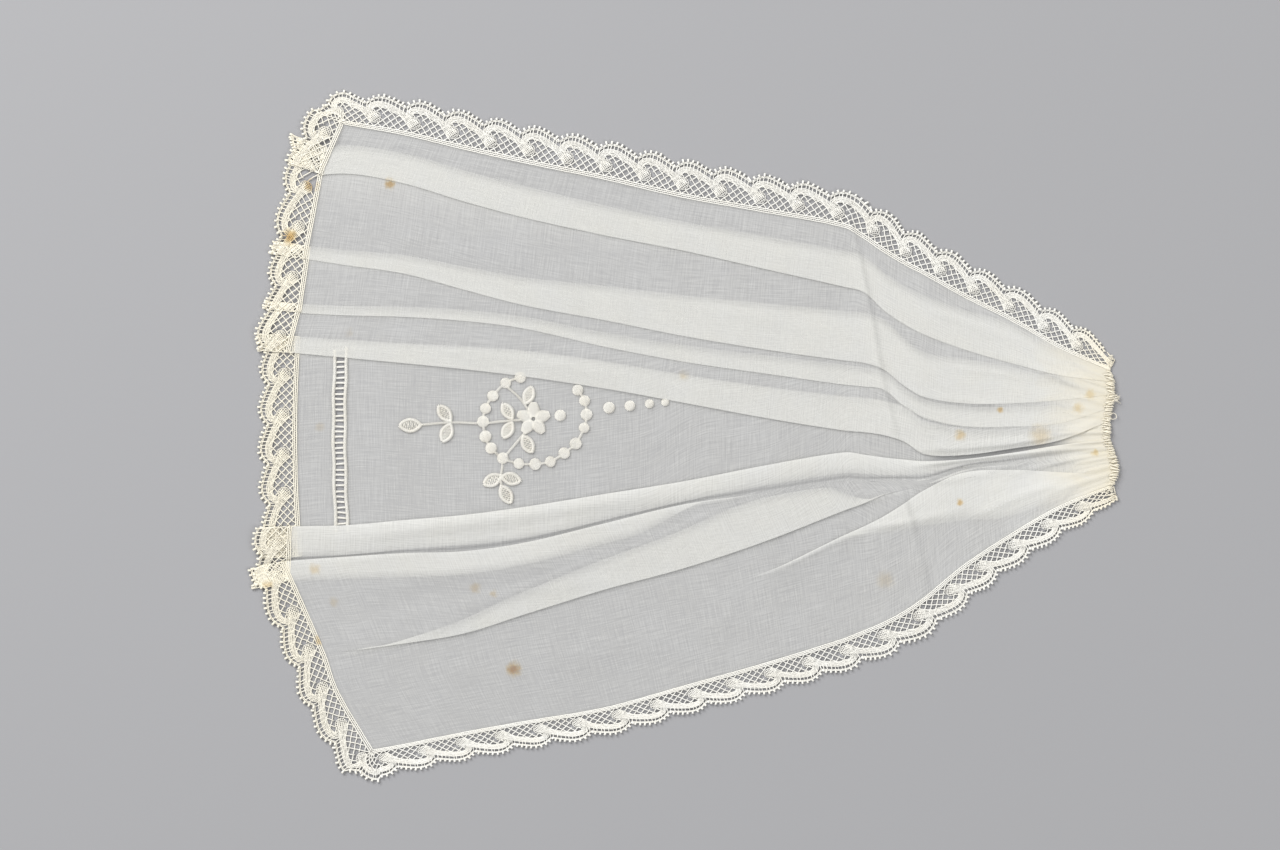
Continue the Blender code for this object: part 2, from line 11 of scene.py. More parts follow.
import bpy
import numpy as np
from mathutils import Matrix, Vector


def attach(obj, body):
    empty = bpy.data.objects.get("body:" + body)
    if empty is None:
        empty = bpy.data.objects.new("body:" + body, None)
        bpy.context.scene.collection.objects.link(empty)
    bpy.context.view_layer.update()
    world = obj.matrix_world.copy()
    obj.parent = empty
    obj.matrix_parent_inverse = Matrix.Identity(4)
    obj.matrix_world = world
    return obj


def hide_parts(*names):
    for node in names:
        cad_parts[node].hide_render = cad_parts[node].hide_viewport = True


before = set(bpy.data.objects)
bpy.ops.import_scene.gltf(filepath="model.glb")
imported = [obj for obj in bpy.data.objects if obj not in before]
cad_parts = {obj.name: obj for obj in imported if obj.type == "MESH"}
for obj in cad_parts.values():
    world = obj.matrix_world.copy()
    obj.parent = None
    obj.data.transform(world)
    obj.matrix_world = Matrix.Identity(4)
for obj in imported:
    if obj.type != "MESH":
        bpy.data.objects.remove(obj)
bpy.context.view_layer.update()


def by_column(names, rows):
    """A table's columns by their names."""
    return dict(zip(names.split(), zip(*rows)))


def by_row(names, rows):
    """A table's rows, each with its values by the columns' names."""
    return [dict(zip(names.split(), row)) for row in rows]


MM = 0.001
# The place on the page that is the model's origin
ORIGIN = (-0.2, -0.7, 0.0)
TINY = 1e-9

# The cloth as it was cut
CUT_WIDTH = 228.0
CUT_LENGTH = 206.0

# The sheet's own level where it lies on the floor
LAWN_LEVEL = 0.22
# How tightly a pleat's edge turns, and how much of that arc is left where the pleat lies open
FULL_TURN_ARC = pi * 0.2
OPEN_ARC_SHARE = 0.12
TURN_STEPS = 6
LEAST_TURN = 0.001
# A pleat's run back starts where its edge has turned this far. It grows over RUN_GROWS, counted
# from where the pleat closes, and is gone RUN_GONE past where the pleat opens.
RUN_BACK_FROM = radians(150)
RUN_GROWS = (-4.0, 42.0)
RUN_GONE = 3.0
LEAST_RUN = 0.05
# Towards the neck the pleats are pressed flatter, so that their edges fade
PRESSED_FROM_X = (44.0, 68.0)
# What is left of each pleat's turn in the gathers at the neck
GATHERED_TURN = radians(40)
GATHERED_X = (92.0, 107.0)
# A layer's hidden inner edge shows softly through the cloth over it, across this width, where the run
# back is wide enough: the cloth is thinned there, a painted shade for the light falling off over a
# sloping band
SHADE_FADE_WIDTH = 2.4
SHADE_RUN = (1.0, 3.0)
# Painted shade: the cloth is thinned between the two middle pleats, over this stretch, so that the
# slit darkens as if shaded in the fold
SLIT_SHADE_BEGINS = (58.0, 66.0)
SLIT_SHADE_ENDS = (90.0, 99.0)

# The slope from a pleat's upper layer down to the floor
RAMP_MAX = 7.0
RAMP_LEAST = 0.4
RAMP_CLEARANCE = 0.9
RAMP_STEPS = 8
# How the cloth dips between the two middle pleats, once they leave it room to
DIP_ROOM = (4.0, 11.0)
DIP_SHARE = 0.42

GRID_SPACING = 1.0
STATION_COUNT = 208
# Stations stand up to twice as close where the storage creases cross the pleats, so that the
# layers keep apart there
CROWDED_FROM_X = (34.0, 40.0)
CROWDED_TO_X = (58.0, 66.0)
CROWDING = 1.0
CROWDING_STEPS = 800

# Where each edge or pleat line lies across the panel, a row for each place along it
LINE = by_column("x upper a b c d e f g h lower", (
    (-100, 80, 63, 44.3, 30.2, 20.2, -23.3, -32, -55.8, -66, -83.5),
    (-85, 77.2, 64.8, 42, 29.4, 18.8, -23, -30.9, -54.6, -64.5, -80.5),
    (-70, 74.5, 62.3, 39.8, 29, 17.4, -21.7, -30, -52.6, -62.6, -77.8),
    (-55, 70.9, 57.8, 35.8, 28, 15.9, -20.4, -29.5, -50.1, -59.5, -74.8),
    (-40, 67.5, 53.8, 31.9, 26.1, 14.1, -18.4, -27.4, -45.4, -55.5, -72.1),
    (-20, 63.4, 49.4, 28.2, 21.6, 11.1, -15.2, -22.6, -39.2, -48.5, -68.7),
    (0, 58.8, 45.5, 24.2, 17.8, 7.5, -12, -17.8, -33.8, -41, -63.2),
    (20, 55.2, 41, 20.9, 14.9, 3.8, -8.1, -15, -27.2, -35, -57.6),
    (40, 51.4, 36.5, 18.1, 12.1, 0.6, -4.8, -12, -19.4, -25.6, -51.4),
    (45, 48.6, 35.1, 17.5, 11.6, 0.2, -5.4, -12.2, -17.6, -23.4, -49.4),
    (50, 45.2, 30.6, 15.8, 10.8, -0.6, -6.1, -11.8, -15.4, -20.9, -47.3),
    (55, 42.2, 27.2, 11.8, 6.8, -2.2, -6.6, -11.8, -14.2, -17.8, -44.6),
    (60, 39.6, 24.6, 9, 3.9, -5.3, -7, -11.8, -13, -14.6, -41.2),
    (70, 34, 20.9, 7.4, 1.7, -5.5, -6.5, -8.6, -9.2, -10, -33),
    (82, 28, 17.4, 7.4, 1.6, -3.9, -4.9, -7.2, -8, -9.2, -25.1),
    (94, 21.2, 14.4, 8.2, 2.4, -1.8, -3, -6.2, -8, -9.8, -18.2),
    (107, 15.5, 12.8, 9.6, 6.4, 3.2, -1.4, -4.6, -7.6, -10.4, -13),
))

# How far each pleat's run back reaches under it, a row for each place along the panel
OVERLAP = by_column("x a b c d e f g h", (
    (-100, 6.8, 3, 2.2, 4, 7.6, 5, 3, 3),
    (-70, 7.4, 4.6, 2.6, 5, 7.2, 6, 5, 3),
    (-40, 7.8, 7, 3, 6.4, 7.6, 5.4, 5, 3),
    (0, 7.2, 10.2, 4.2, 7, 4.8, 4.6, 8.4, 1),
    (20, 8.2, 11.6, 4.6, 7.8, 5, 3.6, 9.8, 1.4),
    (40, 9, 12.4, 5, 8.6, 5.2, 3, 6, 2.4),
    (50, 9.3, 12.4, 4.6, 8.6, 4.4, 3, 2.6, 6.6),
    (60, 9.8, 11.2, 4.6, 8.2, 3.2, 3, 2.6, 9.6),
    (70, 9.9, 11.2, 5, 6.6, 1.2, 3, 3, 11.8),
    (80, 10, 9.6, 5, 5, 1.2, 2, 2, 12),
    (94, 6, 5.4, 4.6, 3.4, 1.2, 2, 2, 6.4),
    (107, 2.6, 2.4, 2.2, 2, 2, 2, 2, 1.8),
))

# faces is the side of the page that a pleat's edge turns to: -1 towards the lower side. Its upper
# layer meets the hem at hem_x and its lower one at under_x. It is closed from closed_from to
# closed_to, and dies away before and after them. Its run back narrows over taper there. pressed
# says how flat it lies, in the middle and at the neck.
PLEATS = by_row(
    "name faces hem_x under_x neck_x lace_angle starts closed_from closed_to ends taper pressed"
    " neck_pressed", (
        ("a", -1, -90.4, -89.0, 107.5, 160, -200, -180, 101, 110, 8, 0.50, 0.85),
        ("b", -1, -94.2, -93.2, 107.5, 172, -200, -180, 100, 110, 8, 0.70, 0.93),
        ("c", -1, -95.6, -95.4, 107.0, 174, -200, -180, 100, 110, 8, 0.72, 0.93),
        ("d", -1, -98.4, -95.8, 106.5, 176, -200, -180, 97, 108, 14, 0.38, 0.30),
        ("e", 1, -97.9, -95.3, 106.5, 183, -200, -180, 97, 108, 14, 0.25, 0.30),
        ("f", 1, -99.6, -98.4, 107.5, 192, -200, -180, 4, 26, 18, 0.80, 0.90),
        ("g", -1, -89.6, -89.8, 108.4, 203, -89, -78, 46, 60, 8, 0.35, 0.80),
        ("h", 1, -86.2, -86.2, 108.4, 208, 14, 28, 100, 109, 6, 0.40, 0.90),
    ),
)
# The panel's two long edges
UPPER_EDGE, LOWER_EDGE = by_row("name faces hem_x neck_x lace_angle", (
    ("upper", -1, -85.0, 106.6, 156),
    ("lower", 1, -77.6, 107.4, 216),
))
# The gap between the two middle pleats, counted from the upper edge. The ladder and the
# embroidery lie in it, and pleat d is beside it.
MIDDLE_GAP = 4
BESIDE_LADDER = PLEATS[3]
# The hem bows outwards there, less and less further in
HEM_BOW = 1.1
HEM_BOW_FADE = 6
# From this gap on, the hem runs in one curve to the lower edge
CURVED_FROM = 6

# Soft ridges in the cloth. Each runs from one place to another, bowed to one side.
CREASES = by_row("from_x from_y to_x to_y bow height half_width", (
    (38.4, 66, 49.8, 11, 0.6, 0.75, 1),
    (47.6, 22, 54, -5, -0.3, 0.6, 1),
    (52.2, -9, 62.4, -46.5, 0.6, 0.8, 1.2),
    (54, -4, 99, 0.6, -1.4, 1, 0.7),
    (54, -8.6, 99, -3.6, 0.2, 0.9, 0.7),
    (-96, -27.4, 4, -13.6, -0.6, 0.7, 2),
    (-100, -34, 0, -19.4, -0.6, 0.25, 1),
    (-88, -41, -8, -31, 1.5, 0.35, 2.2),
    (-88, -50.5, -18, -36.5, 1.2, 0.3, 1.6),
    (-70, -62, 24, -44, -2, 0.35, 4),
    (-60, 70, 26, 50, 1, 0.25, 2.5),
    (-84, 54, -30, 41, -1.6, 0.35, 3),
    (-20, 36, 38, 24.5, 0.8, 0.3, 2.4),
    (-78, 35.5, -36, 30.5, 0.8, 0.28, 1.8),
    (-74, 22.5, -14, 14.2, 0.6, 0.22, 1.6),
    (-64, -7, -52, 13, 0.8, 0.1, 1.4),
    (-20, -2.5, 22, -1.5, 0.4, 0.14, 1.6),
    (9.7, -36.5, 17.9, -53.7, -0.3, 0.14, 0.4),
    (5.2, -35.2, 13, -31.8, -0.3, 0.14, 0.4),
    (31, -38, 36, -50, 0.2, 0.1, 0.4),
    (76, 21, 104, 11, -0.5, 0.3, 1),
    (86, 16.6, 104, 8.8, 0.4, 0.38, 0.9),
    (62, 17, 98, 11.6, 0.6, 0.3, 1),
    (52, 11, 84, 6.6, -0.8, 0.4, 0.9),
    (60, 31, 88, 20.6, 0.6, 0.35, 1),
    (55, -12.8, 92, -5.6, -1.2, 0.5, 0.8),
    (78, -11.6, 101, -6, 0.4, 0.45, 0.6),
    (70, -22, 98, -11.6, 0.8, 0.45, 0.9),
    (44, -24, 76, -17, -0.8, 0.35, 0.9),
))
# A crease rises and dies away over these shares of its length
CREASE_BEGINS = (0.0, 0.25)
CREASE_ENDS = (0.7, 1.0)

# Fine gathers that fan out from the neck. Widths and places are shares of half the panel's width.
GATHER_COUNT = 30
GATHER_SEED = 11
GATHER_OUTERMOST = 0.97
GATHER_SHIFT = 0.02
GATHER_HEIGHT = (0.12, 0.5)
GATHER_FROM_X = (80.0, 103.0)
GATHER_FULL_X = 104.0
GATHER_HALF_WIDTH = (0.016, 0.04)
# How much denser the cloth looks where it is gathered
GATHER_DENSITY = 1.4
# The cloth's own coordinates count tenths of a metre of cut cloth
UV_UNIT = 100.0

# Long, uneven swells of the whole cloth: wavelengths along and across, and a shift
SWELL_HEIGHT = 0.10
SWELLS = (
    (61.0, 23.0, 0.4),
    (37.0, 31.0, 1.9),
    (90.0, 13.0, 3.1),
    (23.0, 47.0, 4.4),
)

LACE_PITCH = 9.9
LACE_SEED = 5
# The share of each side that the lace runs along, before it is caught into the neck
LACE_NECK_END = 0.998
CORNER_STEPS = 12
# The outer edge counts for this much of its length where the lace turns a corner
OUTER_SHARE = 0.7
LEAST_STEP = 1e-6
HEM_LACE_WIDTH = 10.0
CORNER_LACE_WIDTH = 8.6
LACE_WIDTH = by_column("x upper lower", (
    (-85, 8.3, 7.6),
    (-70, 9.6, 7.2),
    (0, 9.9, 7.4),
    (60, 9.0, 8.6),
    (85, 8.4, 7.6),
    (98, 7.4, 6.6),
    (107, 4.2, 4.0),
))

# The edging's pattern over one scallop, in the lace's own flat sizes: (along, across) places. along
# runs against the way that the lace travels, and across runs out from the footing.
PATTERN_WIDTH = 10.1
TRAIL = (
    (-1.6, 4.6), (-1.7, 5.8), (-0.9, 6.8), (0.7, 7.15), (2.6, 6.8), (4.5, 6.1),
    (6.3, 5.3), (8.0, 4.4), (9.2, 3.6), (10.0, 2.9),
)
TRAIL_STEPS = 3
TRAIL_THREADS = (-0.72, -0.43, -0.14, 0.14, 0.43, 0.72)
TRAIL_SHAKE = 0.05
# The trail's threads spread at its end into a closely worked round patch
TRAIL_SPREAD = 0.55
TRAIL_SPREADS_FROM = 0.7
WEFT_PITCH = 0.45
WEFT_REACH = 0.8
PATCH_PLACE = (9.7, 3.5)
PATCH_RADIUS = 1.55
PATCH_PITCH = 0.5
PATCH_SIDE_THREADS = 3
PATCH_OUTLINE_POINTS = 15
# The net shows below the trail's arch, which spans these places along: one pair where the patch
# before it stands in the way, one above that patch. Near the footing it shows everywhere.
NET_OPEN_BELOW = 2.2
ARCH_SPAN_LOW = (1.3, 9.4)
ARCH_SPAN_HIGH = (-1.5, 9.4)
ARCH_HIGH_FROM = 4.6
NET_PER_REPEAT = 5
NET_FROM = 0.95
NET_STEP = 0.4
NET_SHAKE = 0.085
FOOTING_LINES = (0.05, 0.5, 0.95)
FOOTING_SHAKE = 0.04
FOOTING_STEP = 0.6
FOOTING_ZIGZAG_STEP = 0.3
FOOTING_ZIGZAG = (0.1, 0.92)
SCALLOP = (
    (-2.9, 7.1), (-2.0, 7.9), (-1.0, 8.65), (0.3, 9.05), (1.6, 9.05), (3.0, 8.7),
    (4.4, 8.2), (5.8, 7.65), (7.0, 7.1),
)
SCALLOP_STEPS = 3
HEADING_THREADS = (-0.2, 0.08)
# The short bars between trail and heading start at this place along. Before the arch they reach
# in to BARS_IN_FIRST, and past BARS_LAST_FROM only to BARS_IN_LAST.
BARS_PER_REPEAT = 11
BARS_FROM = -2.6
BARS_IN_FIRST = 5.6
BARS_LAST_FROM = 6.2
BARS_IN_LAST = 5.2
BAR_SHIFT = 0.18
BAR_LEAN = 0.15
BAR_RADIUS = (0.10, 0.18)
PICOT_PITCH = LACE_PITCH * 1.1 / 9
PICOT_LENGTH = 0.9
PICOT_SHARES = (0.8, 1.15)
PICOT_LEAN = 0.12
PICOT_MIDDLE = 0.5
# A small hole in the hem's lace
TORN_PLACE = (-91.2, 62.0)
TORN_RADIUS = 1.5

# Every thread is a tube with this many sides
THREAD_SIDES = 4
THREAD_RADIUS = 0.13
NET_RADIUS = 0.15
CORD_RADIUS = 0.17
PICOT_RADIUS = 0.34
FINE_RADIUS = 0.1
WEFT_RADIUS = 0.08
# How far each layer of the lace's threads lies above the net
FOOTING_LIFT = 0.06
ZIGZAG_LIFT = 0.12
TRAIL_LIFT = 0.03
WEFT_LIFT = 0.09
PICOT_LIFT = 0.12

LADDER_FROM_X = -89.1
LADDER_TO_X = -86.7
LADDER_TOP_Y = 20.6
LADDER_END_Y = -24.2
LADDER_PITCH = 1.35
LADDER_SEED = 6
LADDER_SHAKE = 0.13
# Each edge's overcast cord: how far it stands off the opening and past its ends, and its wave
LADDER_CORD_WIDTH = 0.75
LADDER_CORD_PITCH = 0.3
LADDER_CORD_RADIUS = 0.14
LADDER_CORD_SHIFT = 0.25
LADDER_CORD_LIFT = 0.08
LADDER_CORD_PAST = 0.8
LADDER_WAVE = 0.1
LADDER_WAVE_TURN = 0.55
BAR_THREADS = (-0.16, 0.0, 0.16)
BAR_PLACES = (0.0, 0.25, 0.5, 0.75, 1.0)
BAR_WAIST = 0.55
BAR_SPREAD = 0.4
BAR_LIFT = 0.02

# Raised embroidery lies this high on the lawn
STITCH_LEVEL = LAWN_LEVEL + 0.1
SATIN_PITCH = 0.24
SATIN_DOME = 0.36
SATIN_PLACES = (-1.0, -0.75, -0.3, 0.3, 0.75, 1.0)
OVERCAST_PITCH = 0.26
OVERCAST_PLACES = (-1.0, -0.4, 0.4, 1.0)
OVERCAST_SLANT = 0.25
OVERCAST_RISE = 0.3
STEM_WIDTH = 0.6
STEM_STEPS = 6
# The ring of dots starts and ends under the pleat above it, and a thread joins them
RING_CENTRE = (-37.2, 3.5)
RING_RADII = (13.2, 11.2)
RING_LEAN = radians(20)
RING_DOTS = 20
RING_SEED = 8
RING_TURN_SHARE = 0.1
RING_SHAKE = 0.2
RING_DOT_SHARES = (0.92, 1.06)
RING_STITCH_TURN = 0.6
RING_CLEARANCE = 0.1
RING_STEM_DROP = 0.05
DOT_RADIUS = 1.4
# Single dots: piece, place, radius and the solid that it stands for
DOT_STITCH_ANGLE = 0.8
DOTS = (
    ("dot_beside_flower", -30.8, 4.4, 1.4, "dot_in_ring"),
    ("dot_first", -18.6, 6.3, 1.45, "dot_row_1"),
    ("dot_second", -13.4, 6.8, 1.3, "dot_row_2"),
    ("dot_third", -8.5, 7.3, 1.1, "dot_row_3"),
    ("dot_fourth", -4.6, 7.7, 0.95, None),
)
FLOWER_CENTRE = (-37.5, 3.5)
FLOWER_PETALS = 5
FLOWER_TURN = 0.3
PETAL_LENGTH = 3.7
PETAL_HALF = 1.5
PETAL_TUCK = 0.2
HEART_RADIUS = 0.75
HEART_WIDTH = 0.5
HEART_STEPS = 12
HEART_LIFT = 0.1
HEART_THREAD_RADIUS = 0.11
# Sprigs: piece, the solid that it stands for, and its stems. A stem has its points and its leaves,
# and a leaf its stalk end, the way it points in degrees, its length and its half width.
SPRIGS = (
    ("sprig_within", "sprig_inner", (
        (
            ((-40.8, 3.2), (-44.4, 3.0), (-49.4, 2.4)),
            ((-42.8, 3.6, 122, 4.4, 1.2), (-42.8, 2.6, 240, 4.4, 1.2)),
        ),
        (((-38.8, 5.8), (-41.0, 8.8), (-44.2, 11.6)), ((-39.4, 7.4, 70, 4.4, 1.2),)),
        (((-38.9, 0.9), (-41.2, -1.8), (-44.4, -5.6)), ((-40.0, -0.8, -62, 4.6, 1.3),)),
    )),
    ("sprig_to_hem", "sprig_hemward", ((
        ((-51.6, 2.4), (-58.4, 2.6), (-66.0, 2.0)),
        ((-58.2, 3.0, 128, 4.8, 1.35), (-58.2, 2.2, 246, 4.8, 1.35), (-65.6, 2.0, 182, 5.4, 1.5)),
    ),)),
    ("sprig_below", "sprig_lower", ((
        ((-45.2, -8.0), (-45.6, -10.8), (-45.5, -13.8)),
        (
            (-45.6, -10.7, 207, 4.8, 1.35),
            (-45.4, -10.9, -13, 4.8, 1.35),
            (-45.5, -13.3, 299, 4.8, 1.35),
        ),
    ),)),
)
LEAF_EDGE_WIDTH = 0.75
LEAF_EDGE_STEPS = 8
LEAF_FULLNESS = 0.8
LEAF_FILL = 16
LEAF_FILL_RADIUS = 0.09
# A leaf's seed stitches: where they lie along it and across it, and how long and high each is
SEEDS_ALONG = (0.2, 0.3, 0.4, 0.5, 0.6, 0.7, 0.8)
SEEDS_ACROSS = (-0.55, -0.18, 0.18, 0.55)
SEED_SLANT = 0.06
SEED_HALF = 0.17
SEED_RISE = 0.14
SEED_RADIUS = 0.115

NECK_SEED = 3
NECK_STITCHES = 84
NECK_FROM_Y = -12.6
NECK_SPAN = 27.8
# Each stitch: how far it strays, reaches in, slants and wraps past the edge, and its heights
NECK_SHAKE = 0.2
NECK_REACH = (0.9, 2.2)
NECK_SLANT = (-0.5, 0.6)
NECK_WRAP = (0.05, 0.4)
NECK_HEIGHTS = (0.3, 0.6, 0.5, 0.1)
NECK_RADIUS = (0.11, 0.18)
# The threads of the tuft that stands out of the neck edge
TUFT_THREADS = 16
TUFT_PLACE = (107.2, 8.6)
TUFT_OUT_X = 107.4
TUFT_SPREAD = 0.9
TUFT_BEND = 0.4
TUFT_LENGTH = (0.8, 1.9)
TUFT_HEIGHTS = (0.3, 0.4, 0.2)
TUFT_RADIUS = 0.06
# The threads that hold each end of the lace: where they lie across it, and how far in they reach
LACE_END_THREADS = 26
LACE_END_ACROSS = (0.3, 8.6)
LACE_END_FROM = (0.1, 0.9)
LACE_END_REACH = (0.5, 1.8)
LACE_END_BEND = (-0.4, 0.6)
LACE_END_TIP = (-0.8, 0.8)
LACE_END_LIFT = 0.15
LACE_END_RADIUS = 0.12
LOOP = (
    (106.6, 4.6, 0.5), (107.4, 5.0, 0.5), (108.1, 4.4, 0.4), (107.9, 3.6, 0.4), (106.8, 3.4, 0.5),
)
LOOP_STEPS = 5


def smoothstep(low, high, value):
    """0 below low, 1 above high and an S-curve between them."""
    share = np.clip((value - low) / (high - low), 0.0, 1.0)
    return share * share * (3 - 2 * share)


def within(begins, ends, value):
    """1 between two stretches, rising over the first and falling over the second."""
    return smoothstep(*begins, value) * (1 - smoothstep(*ends, value))


def smooth_lookup(places, values, place):
    """Reads a column of values at any place, on a cubic through them."""
    last = len(places) - 1
    place = min(max(place, places[0]), places[last])
    i = max(k for k in range(last) if places[k] <= place)

    def slope(k):
        low, high = max(k - 1, 0), min(k + 1, last)
        return (values[high] - values[low]) / (places[high] - places[low])

    span = places[i + 1] - places[i]
    u = (place - places[i]) / span
    start = (2 * u**3 - 3 * u**2 + 1) * values[i] + (u**3 - 2 * u**2 + u) * span * slope(i)
    end = (3 * u**2 - 2 * u**3) * values[i + 1] + (u**3 - u**2) * span * slope(i + 1)
    return start + end


def look_up(columns, name, x):
    return smooth_lookup(columns["x"], columns[name], x)


def spline(points, steps):
    """A smooth line through points, with steps places to each stretch."""
    points = [np.array(point, float) for point in points]
    line = []
    for k in range(len(points) - 1):
        before = points[max(k - 1, 0)]
        start, end = points[k], points[k + 1]
        after = points[min(k + 2, len(points) - 1)]
        for j in range(steps):
            u = j / steps
            line.append(0.5 * (
                2 * start
                + (end - before) * u
                + (2 * before - 5 * start + 4 * end - after) * u**2
                + (3 * start - before - 3 * end + after) * u**3
            ))
    line.append(points[-1])
    return np.array(line)


def running_total(steps):
    return np.concatenate([[0.0], np.cumsum(steps)])


def unit_tangents(line):
    """The direction that a line of points runs in at each of them."""
    tangent = np.gradient(line, axis=0)
    return tangent / np.maximum(np.linalg.norm(tangent, axis=1, keepdims=True), TINY)


def shake(draw, most, *shape):
    """An array of small random shifts, none more than most."""
    return np.array([draw(-most, most) for _ in range(prod(shape))]).reshape(shape)


# The lawn's sections

def station_x(edge, share):
    """Where a pleat's or an edge's line is at a station, share of the way from hem to neck."""
    return edge["hem_x"] + (edge["neck_x"] - edge["hem_x"]) * share


def pleat_turn(pleat, x):
    """The angle that the cloth turns through at a pleat's edge."""
    closing = smoothstep(pleat["starts"], pleat["closed_from"], x)
    opening = 1 - smoothstep(pleat["closed_to"], pleat["ends"], x)
    gathered = GATHERED_TURN * smoothstep(*GATHERED_X, x)
    return max(pi * closing * opening, gathered, LEAST_TURN)


def run_share(pleat, x):
    """How much of its full width a pleat's run back has, narrowing to nothing at both ends."""
    first, last = pleat["closed_from"], pleat["closed_to"]
    begins = (first + RUN_GROWS[0], first + RUN_GROWS[1])
    return within(begins, (last - pleat["taper"], last + RUN_GONE), x)


def pleat_profile(turn, overlap, looseness):
    """Points (across, up) down a pleat from its upper layer's last point, and how far its edge
    lies past that point."""
    arc = looseness * FULL_TURN_ARC * (OPEN_ARC_SHARE + (1 - OPEN_ARC_SHARE) * turn / pi)
    radius = arc / turn
    closed = smoothstep(RUN_BACK_FROM, pi, turn)
    run = LEAST_RUN + max(0.0, overlap - 2 * radius - LEAST_RUN) * closed
    points = [(0.0, 0.0)]
    for k in range(1, TURN_STEPS + 1):
        angle = turn * k / TURN_STEPS
        points.append((radius * sin(angle), -radius * (1 - cos(angle))))
    across = points[-1][0] + run * cos(turn)
    up = points[-1][1] - run * sin(turn)
    points.append((across, up))
    for k in range(1, TURN_STEPS + 1):
        angle = turn * (1 - k / TURN_STEPS)
        points.append((
            across + radius * (sin(turn) - sin(angle)),
            up - radius * (cos(angle) - cos(turn)),
        ))
    return points, radius * sin(min(turn, pi / 2))


# What a section's row holds after its place
LACE_ANGLE, FOLD, GAP = 3, 4, 5
# Marks in its last column, in place of a gap's number: on a pleat, in the middle of its visible
# edge, and in the middle of its inner turn
ON_PLEAT = -1.0
EDGE_MARK = -3.0
INNER_MARK = -2.0


def place_pleat(pleat, share):
    """A pleat at a station, with its points (x, y, z) and their marks down the page."""
    x = station_x(pleat, share)
    overlap = look_up(OVERLAP, pleat["name"], x) * run_share(pleat, x)
    turn = pleat_turn(pleat, x)
    at_neck = float(smoothstep(*PRESSED_FROM_X, x))
    looseness = 1 - pleat["pressed"] - (pleat["neck_pressed"] - pleat["pressed"]) * at_neck
    profile, edge = pleat_profile(turn, overlap, looseness)
    edge_y = look_up(LINE, pleat["name"], x)
    under_shift = (pleat["under_x"] - pleat["hem_x"]) * (1 - share)
    points = []
    for k, (across, up) in enumerate(profile):
        lower = k / (len(profile) - 1)
        points.append((
            x + under_shift * lower,
            edge_y + pleat["faces"] * (across - edge),
            LAWN_LEVEL + up - profile[-1][1],
        ))
    marks = [ON_PLEAT] * len(points)
    marks[TURN_STEPS // 2] = EDGE_MARK
    marks[TURN_STEPS + 1 + TURN_STEPS // 2] = INNER_MARK
    if pleat["faces"] > 0:
        points.reverse()
        marks.reverse()
    return {**pleat, "points": points, "marks": marks, "closed": turn / pi}


def place_edge(edge, share):
    x = station_x(edge, share)
    place = (x, look_up(LINE, edge["name"], x), LAWN_LEVEL)
    return {**edge, "points": [place], "marks": [], "closed": 0.0}


def spread(start, end):
    """Points after start up to end. The height follows an S-curve, the rest a line."""
    points = []
    for k in range(1, RAMP_STEPS + 1):
        u = k / RAMP_STEPS
        points.append((
            start[0] + (end[0] - start[0]) * u,
            start[1] + (end[1] - start[1]) * u,
            start[2] + (end[2] - start[2]) * float(smoothstep(0, 1, u)),
        ))
    return points


def ramp_places(near, far):
    """Where a ramp leaves an upper layer and where it meets the floor, running from near to far."""
    room = max(RAMP_LEAST, abs(far - near))
    toward = 1 if far > near else -1
    clear = min(RAMP_CLEARANCE, 0.25 * room)
    width = min(RAMP_MAX, max(0.5 * room, room - 2 * clear))
    return near + toward * clear, near + toward * (clear + width)


def gap_points(before, after):
    """The cloth after one pleat up to the start of the next, whichever way each faces."""
    start, end = before["points"][-1], after["points"][0]
    high = min(point[1] for point in before["points"])
    low = max(point[1] for point in after["points"])

    def between(y, z):
        """The point at y, on the line from start to end as seen from above."""
        u = (start[1] - y) / max(start[1] - end[1], 0.001)
        return (start[0] + (end[0] - start[0]) * min(1.0, max(0.0, u)), y, z)

    if before["faces"] < 0 < after["faces"]:
        return spread(start, end)
    if before["faces"] > 0 and after["faces"] > 0:
        crest_y, foot_y = ramp_places(high, min(low, high - RAMP_LEAST))
        crest = between(crest_y, start[2])
        return [crest, *spread(crest, between(foot_y, LAWN_LEVEL)), end]
    if before["faces"] < 0:
        crest_y, foot_y = ramp_places(low, max(high, low + RAMP_LEAST))
        foot = between(foot_y, LAWN_LEVEL)
        return [foot, *spread(foot, between(crest_y, end[2])), end]
    middle = 0.5 * (high + low)
    first_y = max(high - RAMP_CLEARANCE, middle + RAMP_LEAST)
    last_y = min(low + RAMP_CLEARANCE, middle - RAMP_LEAST)
    sunk = smoothstep(*DIP_ROOM, first_y - last_y)
    dip = LAWN_LEVEL + (min(start[2], end[2]) - LAWN_LEVEL) * (1 - sunk)
    width = min(RAMP_MAX, DIP_SHARE * (first_y - last_y))
    first = between(first_y, start[2])
    rise = between(last_y + width, dip)
    descent = spread(first, between(first_y - width, dip))
    return [first, *descent, rise, *spread(rise, between(last_y, end[2])), end]


